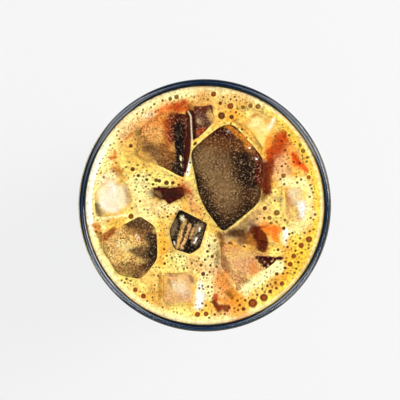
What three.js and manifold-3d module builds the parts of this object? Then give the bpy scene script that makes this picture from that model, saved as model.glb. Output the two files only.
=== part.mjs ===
// An iced coffee in a clear tapered tumbler: black coffee under a layer of tan foam, with eleven melting ice
// pieces that stand a little proud of the foam. Millimetres, +Z up, origin at the centre of the glass's foot.
import * as THREE from "three";
import { mergeVertices } from "three/addons/utils/BufferGeometryUtils.js";
import Module from "manifold-3d";

const wasm = await Module();
wasm.setup();

// Driving dimensions of the tumbler
const RIM_HEIGHT = 110;
const RIM_RADIUS = 40;
const FOOT_RADIUS = 30;
const SIDE_POWER = 0.8; // under 1 bows the side gently outwards
const LIP_WALL = 2.3;
const LOW_WALL = 2.7;
const BASE_THICKNESS = 9;
const INNER_CORNER = 7; // radius where the side runs into the inside floor
const FOOT_CORNER = 2.4; // radius where the side runs into the foot
const PUNT_RADIUS = 23; // hollow under the base
const PUNT_DEPTH = 1.2;

// Driving dimensions of the drink
const DRINK_LEVEL = RIM_HEIGHT - 8;
const FOAM_DEPTH = 8;
const FOAM_CLIMB = 1.3; // the foam creeps this far up the glass
const FOAM_CLIMB_WIDTH = 4.5;
const GAP = 0.3; // between pieces that touch in the real drink

// Driving dimensions of the ice
const ICE_POWER = 16; // how square the corners are in plan: a lower power melts them further
const ICE_EDGE = 1.8; // how far the top and bottom edges are rounded, at most
const ICE_EDGE_SHARE = 0.3; // and as a share of the piece's nearest side
const ICE_DRAFT = 0.2; // share of its width that a piece loses from the foam down to its bottom
const EDGE_TO_SIDE = 0.6; // from the end of the rounded edge down to where the side starts to lean in
const POCKET_RAISE = 4;

// Fineness of the round surfaces
const GLASS_SIDES = 54;
const ICE_SIDES = 22;
const BUBBLE_DETAIL = 1;
const BUBBLE_RAISE = 0.4; // a burst bubble's centre above the foam, as a share of its radius

const radians = THREE.MathUtils.degToRad;

// Outer radius of the tumbler at a height
const outerRadius = (z) =>
  FOOT_RADIUS + (RIM_RADIUS - FOOT_RADIUS) * Math.pow(z / RIM_HEIGHT, SIDE_POWER);

// The wall thins evenly from the base to the lip
const wallAt = (z) => LOW_WALL + (LIP_WALL - LOW_WALL) * (z / RIM_HEIGHT);
const innerRadius = (z) => outerRadius(z) - wallAt(z);

// Evenly spaced numbers from one end to the other, both ends included
const steps = (from, to, count) =>
  Array.from({ length: count + 1 }, (_, i) => from + ((to - from) * i) / count);

// Points of an arc in the profile plane, its angles in degrees
const arc = (centreR, centreZ, radius, from, to, count) =>
  steps(radians(from), radians(to), count).map(
    (angle) =>
      new THREE.Vector2(
        centreR + radius * Math.cos(angle),
        centreZ + radius * Math.sin(angle),
      ),
  );

// Points up or down a wall whose radius is a function of height
const wallPoints = (radiusAt, from, to, count) =>
  steps(from, to, count).map((z) => new THREE.Vector2(radiusAt(z), z));

// The inside of the tumbler up to a height, moved in by a gap: floor, round corner and side
function insideProfile(gap, zTop, count) {
  const floor = BASE_THICKNESS + gap;
  const cornerZ = floor + INNER_CORNER;
  const cornerR = innerRadius(cornerZ) - gap - INNER_CORNER;
  const side = (z) => innerRadius(z) - gap;
  return [
    new THREE.Vector2(0, floor),
    ...arc(cornerR, cornerZ, INNER_CORNER, -90, 0, 4),
    ...wallPoints(side, cornerZ, zTop, count).slice(1),
  ];
}

// The tumbler's wall: hollow foot, up the outside, over a round lip and down the inside
function glassProfile() {
  const lipRadius = LIP_WALL / 2;
  const lipZ = RIM_HEIGHT - lipRadius;
  const footCentre = outerRadius(FOOT_CORNER) - FOOT_CORNER;
  return [
    new THREE.Vector2(0, PUNT_DEPTH),
    new THREE.Vector2(PUNT_RADIUS * 0.6, PUNT_DEPTH * 0.75),
    new THREE.Vector2(PUNT_RADIUS, 0),
    ...arc(footCentre, FOOT_CORNER, FOOT_CORNER, -90, 0, 3),
    ...wallPoints(outerRadius, FOOT_CORNER, lipZ, 5).slice(1),
    ...arc(outerRadius(lipZ) - lipRadius, lipZ, lipRadius, 0, 180, 6).slice(1, -1),
    ...insideProfile(0, lipZ, 4).reverse(),
  ];
}

// Black coffee fills the glass up to the underside of the foam
const coffeeTop = DRINK_LEVEL - FOAM_DEPTH;
function coffeeProfile() {
  return [...insideProfile(GAP, coffeeTop, 3), new THREE.Vector2(0, coffeeTop)];
}

// The foam floats on the coffee, and its edge climbs the glass on a smooth curve
function foamProfile() {
  const under = coffeeTop + GAP;
  const edge = DRINK_LEVEL + FOAM_CLIMB;
  const side = (z) => innerRadius(z) - GAP;
  const climb = steps(1, 0, 4).map(
    (share) =>
      new THREE.Vector2(
        side(edge) - FOAM_CLIMB_WIDTH * (1 - share),
        DRINK_LEVEL + FOAM_CLIMB * share * share,
      ),
  );
  return [
    new THREE.Vector2(0, under),
    new THREE.Vector2(side(under), under),
    ...climb,
    new THREE.Vector2(0, DRINK_LEVEL),
  ];
}

// A closed profile turned about +Z. LatheGeometry turns about +Y, so the result is stood upright.
function lathe(profile) {
  const turned = new THREE.LatheGeometry(profile, GLASS_SIDES);
  turned.rotateX(Math.PI / 2);
  return turned;
}

// Each ice piece: its middle in plan, its flat sides as [direction in degrees, distance from the middle],
// how far the middle of its top stands above the foam, how deep it reaches below that, and how the top leans
// as [degrees, direction it falls towards].
const ICE = {
  ice_large: {
    at: [7.5, 9.5],
    sides: [[97, 16.6], [130, 14], [41, 12.2], [-5, 11], [-50, 13.1], [217, 12.5], [191, 10.7]],
    proud: 1.7,
    deep: 24,
    lean: [3, 200],
  },
  ice_upper_left: {
    at: [-12.5, 19.3],
    sides: [[-3, 7.1], [244, 7.6], [174, 9.2], [128, 9.3], [84, 10.8]],
    proud: 1.1,
    deep: 20,
    lean: [4, 330],
  },
  ice_top: {
    at: [-0.7, 27.4],
    sides: [[-48, 3.4], [186, 2.7], [100, 5], [12, 4.6]],
    proud: 0.6,
    deep: 14,
    lean: [4, 60],
  },
  ice_upper_right: {
    at: [17.6, 25.4],
    sides: [[221, 4.4], [130, 5.4], [60, 4.6], [-30, 4.9]],
    proud: 0.8,
    deep: 13,
    lean: [5, 120],
  },
  ice_left: {
    at: [-29.3, 2],
    sides: [[182, 6.2], [130, 6.4], [75, 6.4], [15, 6.4], [-40, 5.7], [-92, 6]],
    proud: 1,
    deep: 15,
    lean: [4, 20],
  },
  ice_lower_left: {
    at: [-24.3, -13.2],
    sides: [[2, 9.3], [-40, 9.9], [-98, 9.9], [215, 8.5], [172, 9.2], [115, 7.9], [52, 10.6]],
    proud: 1.4,
    deep: 20,
    lean: [4, 150],
  },
  ice_centre: {
    at: [-5.6, -8.6],
    sides: [[192, 5.7], [154, 5.5], [64, 5.6], [-14, 5.9], [248, 7.1], [-58, 7.3]],
    proud: 1.2,
    deep: 14,
    lean: [6, 300],
  },
  ice_bottom: {
    at: [-8.3, -26.6],
    sides: [[180, 5.8], [92, 5.9], [38, 7], [-8, 5.8], [-86, 5.9], [228, 7]],
    proud: 0.9,
    deep: 14,
    lean: [4, 100],
  },
  ice_lower_right: {
    at: [12.3, -18.6],
    sides: [[178, 8], [78, 5.4], [10, 11], [-50, 6.4], [217, 7]],
    proud: 1,
    deep: 16,
    lean: [4, 240],
  },
  ice_right: {
    at: [29.1, 0.2],
    sides: [[180, 4.3], [95, 6.6], [22, 4.4], [-25, 4.7], [-88, 6.4], [-140, 5.6]],
    proud: 0.9,
    deep: 13,
    lean: [5, 180],
  },
  ice_mid_right: {
    at: [20.3, -9],
    sides: [[180, 4], [92, 3.6], [5, 4.4], [-102, 3.2]],
    proud: 0.6,
    deep: 12,
    lean: [5, 90],
  },
};

// The rounded edges of an ice piece, as [share of the edge rounding, inset, height below or above its end]
const EDGE_LEVELS = [[1, 0], [0.3, 0.3], [0, 1]];

// A melted block: in plan its radius is the p-norm of how far each direction reaches towards every side,
// which is the straight-sided outline with its corners rounded, stacked in levels with rounded ends.
// A pocket for it is the same block grown by a gap, with straight sides carried up past the foam.
function iceGeometry(ice, grow = 0) {
  const nearest = Math.min(...ice.sides.map(([, distance]) => distance));
  const edge = Math.min(ICE_EDGE, ICE_EDGE_SHARE * nearest);
  const top = grow ? ice.proud + POCKET_RAISE : ice.proud;
  const bottom = ice.proud - ice.deep;
  const levels = [
    ...(grow ? [[0, top]] : EDGE_LEVELS.map(([inset, drop]) => [inset * edge, top - drop * edge])),
    [0, ice.proud - edge - EDGE_TO_SIDE],
    ...EDGE_LEVELS.toReversed().map(([inset, rise]) => [inset * edge, bottom - grow + rise * edge]),
  ];
  const outline = Array.from({ length: ICE_SIDES }, (_, i) => {
    const angle = (2 * Math.PI * i) / ICE_SIDES;
    const sum = ice.sides.reduce((total, [direction, distance]) => {
      const reach = Math.max(0, Math.cos(angle - radians(direction))) / distance;
      return total + Math.pow(reach, ICE_POWER);
    }, 0);
    return { angle, radius: Math.pow(sum, -1 / ICE_POWER) };
  });
  const [lean, falls] = ice.lean.map(radians);
  const points = [0, 0, top];
  for (const [inset, z] of levels) {
    // the outline is as stated at the level of the foam, and the top's lean fades out with depth
    const draft = 1 - ICE_DRAFT * THREE.MathUtils.clamp(z / bottom, 0, 1);
    const share = THREE.MathUtils.clamp((z - bottom) / ice.deep, 0, 1);
    for (const { angle, radius } of outline) {
      const r = (radius + grow) * draft - inset;
      const x = r * Math.cos(angle);
      const y = r * Math.sin(angle);
      const slope = share * Math.tan(lean) * (x * Math.cos(falls) + y * Math.sin(falls));
      points.push(x, y, z - slope);
    }
  }
  points.push(0, 0, bottom - grow);

  const indices = [];
  const last = points.length / 3 - 1;
  for (let i = 0; i < ICE_SIDES; i++) {
    const next = (i + 1) % ICE_SIDES;
    indices.push(0, 1 + i, 1 + next);
    for (let k = 0; k < levels.length - 1; k++) {
      const upper = 1 + k * ICE_SIDES;
      const lower = upper + ICE_SIDES;
      indices.push(upper + i, lower + i, upper + next);
      indices.push(upper + next, lower + i, lower + next);
    }
    indices.push(last, last - ICE_SIDES + next, last - ICE_SIDES + i);
  }
  const block = new THREE.BufferGeometry();
  block.setAttribute("position", new THREE.Float32BufferAttribute(points, 3));
  block.setIndex(indices);
  const [x, y] = ice.at;
  block.translate(x, y, DRINK_LEVEL);
  return block;
}

// The largest bubbles that have burst in the foam, as [x, y, radius]
const BUBBLES = [
  [15.3, -31.2, 1.3],
  [18.9, -29.4, 1.2],
  [8.2, 31.2, 0.9],
  [30.7, -13, 0.9],
  [33, -11.1, 0.8],
  [2.6, 34.8, 0.8],
  [5.4, 28.6, 0.9],
  [28.4, -16.3, 0.8],
  [-2.4, -34.2, 0.8],
  [0.8, -34.4, 0.8],
  [23, -2.6, 0.8],
  [25.1, 9.4, 0.7],
  [-15.1, 7.6, 0.9],
  [-12.4, 7.2, 0.7],
  [-23, 11.2, 0.7],
  [27.3, -19.1, 0.7],
  [-0.6, -21.9, 0.7],
];

function bubbleGeometry([x, y, radius]) {
  const ball = new THREE.IcosahedronGeometry(radius, BUBBLE_DETAIL);
  ball.translate(x, y, DRINK_LEVEL + radius * BUBBLE_RAISE);
  return ball;
}

function toSolid(geometry) {
  const bare = geometry.clone();
  bare.deleteAttribute("normal");
  bare.deleteAttribute("uv");
  const merged = mergeVertices(bare, 1e-4);
  return new wasm.Manifold(
    new wasm.Mesh({
      numProp: 3,
      vertProperties: merged.attributes.position.array,
      triVerts: new Uint32Array(merged.index.array),
    }),
  );
}

function toGeometry(solid) {
  const { vertProperties, triVerts } = solid.getMesh();
  const geometry = new THREE.BufferGeometry();
  geometry.setAttribute("position", new THREE.BufferAttribute(vertProperties, 3));
  geometry.setIndex(new THREE.BufferAttribute(triVerts, 1));
  geometry.computeVertexNormals();
  return geometry;
}

// The coffee and the foam are cut round the ice, and the foam is pitted by its largest bubbles
function drinkSolids() {
  const pockets = wasm.Manifold.union(
    Object.values(ICE).map((ice) => toSolid(iceGeometry(ice, GAP))),
  );
  const pits = wasm.Manifold.union(BUBBLES.map((bubble) => toSolid(bubbleGeometry(bubble))));
  return {
    coffee: toSolid(lathe(coffeeProfile())).subtract(pockets),
    foam: toSolid(lathe(foamProfile())).subtract(pockets).subtract(pits),
  };
}

const FINISHES = {
  glass: { color: 0xdfeceb, roughness: 0.03, metalness: 0 },
  coffee: { color: 0x2a1208, roughness: 0.2, metalness: 0 },
  foam: { color: 0xf0c36b, roughness: 0.45, metalness: 0 },
  ice: { color: 0x8a6e50, roughness: 0.12, metalness: 0 },
};

function addPiece(group, name, geometry, finish) {
  const mesh = new THREE.Mesh(geometry, new THREE.MeshStandardMaterial(finish));
  mesh.name = name;
  group.add(mesh);
}

const icedCoffee = new THREE.Group();
const { coffee, foam } = drinkSolids();
addPiece(icedCoffee, "glass", toGeometry(toSolid(lathe(glassProfile()))), FINISHES.glass);
addPiece(icedCoffee, "coffee", toGeometry(coffee), FINISHES.coffee);
addPiece(icedCoffee, "foam", toGeometry(foam), FINISHES.foam);
for (const [name, ice] of Object.entries(ICE)) {
  addPiece(icedCoffee, name, iceGeometry(ice), FINISHES.ice);
}

export default icedCoffee;
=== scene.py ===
"""Iced coffee in a clear tumbler, seen from above: glass, coffee, golden foam and melting ice."""

import math

import bpy
import numpy as np
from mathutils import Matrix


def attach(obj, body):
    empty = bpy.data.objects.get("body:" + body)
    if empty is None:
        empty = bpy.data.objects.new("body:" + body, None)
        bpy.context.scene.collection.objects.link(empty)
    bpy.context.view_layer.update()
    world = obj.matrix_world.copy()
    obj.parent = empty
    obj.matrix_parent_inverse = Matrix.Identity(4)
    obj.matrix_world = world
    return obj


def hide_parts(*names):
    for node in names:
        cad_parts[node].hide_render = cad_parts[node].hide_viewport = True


bl_info = {
    "name": "Iced coffee",
    "version": (1, 0, 0),
    "blender": (4, 5, 0),
    "location": "3D View > Sidebar > Iced coffee",
    "description": "Builds a glass of iced coffee with foam and ice round its packed frame",
    "category": "Object",
}

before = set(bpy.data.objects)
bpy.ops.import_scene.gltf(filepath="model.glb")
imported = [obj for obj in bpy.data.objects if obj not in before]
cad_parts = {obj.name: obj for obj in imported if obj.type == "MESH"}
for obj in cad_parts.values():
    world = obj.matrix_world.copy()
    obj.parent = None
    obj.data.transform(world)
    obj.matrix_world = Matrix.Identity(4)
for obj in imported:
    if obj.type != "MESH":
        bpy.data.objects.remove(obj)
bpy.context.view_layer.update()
MM = 0.001

# Sizes of the tumbler and its drink, in millimetres from the middle of the foot
RIM_HEIGHT = 110
RIM_RADIUS = 40
FOOT_RADIUS = 30
SIDE_POWER = 0.8
LIP_WALL = 2.3
LOW_WALL = 2.7
BASE_THICKNESS = 9
INNER_CORNER = 7
FOOT_CORNER = 2.4
PUNT_RADIUS = 23
PUNT_DEPTH = 1.2
PUNT_BEND = [(0, 1), (0.6, 0.75), (0.85, 0.35), (1, 0)]  # as shares of its radius and its depth
DRINK_LEVEL = 102
FOAM_DEPTH = 8
FOAM_CLIMB = 1.3
FOAM_CLIMB_WIDTH = 4.5
INTO_WALL = 0.15  # what fills the glass reaches this far into its wall, so no air gap shows
COFFEE_TOP = DRINK_LEVEL - FOAM_DEPTH

# Foam: width of its swells, dip over sunk ice that shows, and height that the coffee stains at the glass
SWELL_WIDTH = 4.5
SUNK_DIP = 1.6
STAIN_HEIGHT = 3.5

# Foam against the ice, in mm: its least lift, what a full film adds to that for each mm that the ice
# stands proud, how far it drops under the ice, and over which distances from the ice's outline
LEAST_LIFT = 0.3
FILM_LIFT = 0.8
UNDER_ICE_DROP = 0.8
UNDER_ICE = (-0.7, -1.7)

# Bubbles: brim, bowl and dome as shares of the radius, then in mm how far the dome is set in, and the
# radius below which a bubble is a plain dark dot
BRIM_RISE = 0.12
BOWL_DEPTH = 0.45
DOME_RISE = 0.22
DOME_SINK = 0.06
FINE_BUBBLE = 0.33

# Fine bubbles: share of the places filled anywhere and added in a belt along the rim, then in mm where
# the belt begins, how far out they lie, their least radius, its spread, and the gaps that they keep
FIZZ_SHARE = 0.14
BELT_SHARE = 0.75
BELT_START = (33, 34.4)
FIZZ_REACH = 35.9
FIZZ_SIZE = 0.2
FIZZ_SPREAD = 0.24
FIZZ_OFF_ICE = 0.25
FIZZ_GAP = 0.28

# Ice: how sharply its sides meet in plan, its rounded edge in mm and as a share of its half width, how
# far its side starts below the edge, how much it narrows downwards, and the width of its hollows
ICE_POWER = 16
ICE_EDGE = 1.8
ICE_EDGE_SHARE = 0.3
ICE_SHOULDER = 0.6
ICE_DRAFT = 0.2
HOLLOW_WIDTH = 3.5

# Looks of the ice: over which distances inside its outline its edge colour and the border of its film
# come in, and the width of the patches in its film, all in mm
EDGE_FADE = (-1.5, -0.3)
BORDER_FADE = (-2.4, -0.5)
PATCH_WIDTH = 2.6

# Strokes: cells of the noise that makes their edges ragged, the farthest it pushes them in mm, and the
# share of that for a stroke of full strength
WIDE_RAGS = 3.2
FINE_RAGS = 1.1
FARTHEST_PUSH = 2.4
CRISP_PUSH = 0.25

# How strongly the cream outline of the ice shows, round most pieces and round the largest
FAINT_OUTLINE = 0.12
BRIGHT_OUTLINE = 0.85

# Painted shade of the lip, in mm from the rim: how far it fades down the inside, and between which
# heights it fades on the outside
LIP_FADE = 5
OUTER_LIP_FADE = (-1.5, -1.1)

# Stage, in metres, with turns in degrees from the right
FLOOR_HALF = 4
FLOOR_GLOW = 0.88  # share of its light that the floor gives off by itself
KEY_AT = (0.62, 0.24, 0.66)
KEY_WIDTH = 0.5
KEY_COLOUR = (1, 0.97, 0.93)
PANEL_TURNS = (48, 130, 216, 318)
PANEL_AWAY = 0.57
PANEL_HEIGHT = 0.68
PANEL_SIZE = (0.3, 1.1)

# The studio's dome: how high up, from 0 level to 1 overhead, and its colour there. Rays that mirror it
# before so many turns see a colder one, which changes colour between two heights.
DOME_STOPS = [
    (0, (0.02, 0.05, 0.12)),
    (0.22, (0.03, 0.08, 0.16)),
    (0.38, (0.72, 0.74, 0.78)),
    (0.82, (0.84, 0.86, 0.90)),
    (0.93, (0.05, 0.05, 0.05)),
]
COLD_TURNS = 3.5
COLD_HEIGHTS = (0.25, 0.5)
COLD_LOW = (0.10, 0.13, 0.18)
COLD_HIGH = (0.10, 0.32, 0.85)

# Camera: where it stands over the rim and how wide its frame is there, in mm
CAMERA_AT = (-1.5, 1.7)
FRAME_WIDTH = 400 / 3.17  # the photograph's width in pixels, and its pixels to the millimetre

# Each ice piece: its middle in plan, its flat sides as [direction in degrees, distance], how far its
# top stands above the foam, how deep it reaches, and how the top leans as [degrees, direction].
# look is the colour of its body, how speckled it is, the colour of its edge and how strong that is.
# film is how much foam lies over it, and shows, on sunk pieces only, how clearly it shows in the foam.
ICE = {
    "ice_large": {
        "at": (7.5, 9.5),
        "sides": [(97, 16.6), (130, 14), (41, 12.2), (-5, 11), (-50, 13.1), (217, 12.5), (191, 10.7)],
        "proud": 1.7, "deep": 24, "lean": (3, 200), "look": ("umber", 1.0, "coal", 0.45), "film": 0.0,
    },
    "ice_upper_left": {
        "at": (-12.5, 19.3),
        "sides": [(-3, 7.1), (244, 7.6), (174, 9.2), (128, 9.3), (84, 10.8)],
        "proud": 1.1, "deep": 20, "lean": (4, 330), "look": ("honey", 1.0, "honey", 0.0), "film": 0.3,
    },
    "ice_top": {
        "at": (-0.7, 27.4),
        "sides": [(-48, 3.4), (186, 2.7), (100, 5), (12, 4.6)],
        "proud": 0.6, "deep": 14, "lean": (4, 60), "look": ("cocoa", 0.8, "brown", 0.5), "film": 0.2,
    },
    "ice_upper_right": {
        "at": (17.6, 25.4),
        "sides": [(221, 4.4), (130, 5.4), (60, 4.6), (-30, 4.9)],
        "proud": 0.8, "deep": 13, "lean": (5, 120), "look": ("cream", 0.1, "peach", 0.6), "film": 0.6,
    },
    "ice_left": {
        "at": (-29.3, 2),
        "sides": [(182, 6.2), (130, 6.4), (75, 6.4), (15, 6.4), (-40, 5.7), (-92, 6)],
        "proud": 1, "deep": 15, "lean": (4, 20), "look": ("shell", 0.05, "tan", 0.5), "film": 0.4,
    },
    "ice_lower_left": {
        "at": (-24.3, -13.2),
        "sides": [(2, 9.3), (-40, 9.9), (-98, 9.9), (215, 8.5), (172, 9.2), (115, 7.9), (52, 10.6)],
        "proud": 1.4, "deep": 20, "lean": (4, 150), "look": ("straw", 1.0, "bronze", 0.8), "film": 0.4,
    },
    "ice_centre": {
        "at": (-5.6, -8.6),
        "sides": [(192, 5.7), (154, 5.5), (64, 5.6), (-14, 5.9), (248, 7.1), (-58, 7.3)],
        "proud": 1.2, "deep": 14, "lean": (6, 300), "look": ("coal", 1.0, "coal", 0.8), "film": 0.1,
    },
    "ice_bottom": {
        "at": (-8.3, -26.6),
        "sides": [(180, 5.8), (92, 5.9), (38, 7), (-8, 5.8), (-86, 5.9), (228, 7)],
        "proud": 0.9, "deep": 14, "lean": (4, 100), "look": ("peach", 0.4, "caramel", 0.6), "film": 0.35,
    },
    "ice_lower_right": {
        "at": (12.3, -18.6),
        "sides": [(178, 8), (78, 5.4), (10, 11), (-50, 6.4), (217, 7)],
        "proud": 1, "deep": 16, "lean": (4, 240), "look": ("terracotta", 0.6, "caramel", 0.5), "film": 0.45,
    },
    "ice_right": {
        "at": (29.1, 0.2),
        "sides": [(180, 4.3), (95, 6.6), (22, 4.4), (-25, 4.7), (-88, 6.4), (-140, 5.6)],
        "proud": 0.9, "deep": 13, "lean": (5, 180), "look": ("tan", 0.4, "peach", 0.5), "film": 0.55,
    },
    "ice_mid_right": {
        "at": (20.3, -9),
        "sides": [(180, 4), (92, 3.6), (5, 4.4), (-102, 3.2)],
        "proud": 0.6, "deep": 12, "lean": (5, 90), "look": ("orange", 0.4, "tan", 0.3), "film": 0.4,
    },
    "sunk_ice_right": {
        "at": (12, -8.6),
        "sides": [(90, 5), (30, 5.5), (-20, 5.5), (-90, 4.6), (180, 5.6), (135, 5)],
        "proud": -0.45, "deep": 9, "lean": (3, 10), "look": ("taupe", 0.9, "tan", 0.5),
        "film": 0.3, "shows": 0.0,
    },
    "sunk_ice_left": {
        "at": (-11.6, 3.9),
        "sides": [(92, 1.9), (35, 4.4), (-8, 5.6), (-60, 3.3), (-125, 2.8), (180, 4.9)],
        "proud": -0.5, "deep": 8, "lean": (4, 100), "look": ("maroon", 0.1, "maroon", 0.4),
        "film": 0.15, "shows": 0.95,
    },
}

# Colours of the drink, and of the painted shade and highlight line in the glass's lip, as sRGB
TONES = {
    "white": "#FFFFF6",
    "pale": "#FCEBA6",
    "cream": "#F8D974",
    "butter": "#EFB84A",
    "gold": "#F8CC44",
    "amber": "#EC9414",
    "honey": "#DC9C4C",
    "straw": "#D8A860",
    "ivory": "#F8E6BE",
    "shell": "#F3DCAA",
    "tan": "#D8A860",
    "peach": "#E6AE74",
    "terracotta": "#CE8E58",
    "orange": "#EC8424",
    "vivid": "#E8500E",
    "rust": "#AE3A04",
    "sienna": "#9A4A10",
    "russet": "#7C2A06",
    "caramel": "#B87020",
    "bronze": "#8A6420",
    "olive": "#8E7424",
    "brown": "#6E3C14",
    "mauve": "#8C6450",
    "taupe": "#9C7A4E",
    "cocoa": "#5E3A2A",
    "umber": "#4C3016",
    "chocolate": "#541403",
    "maroon": "#3C0804",
    "coal": "#120703",
    "pit": "#5C3A0A",
    # navy and ink are painted shade in the glass's lip, and the pale tone after them its painted highlight
    # line
    "navy": "#24467E",
    "ink": "#0A1A3A",
    "lip_highlight": "#F0FAFA",
    "frost": "#B2946C",
    "tawny": "#3A1608",
    "toffee": "#9A6418",
}
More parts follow.
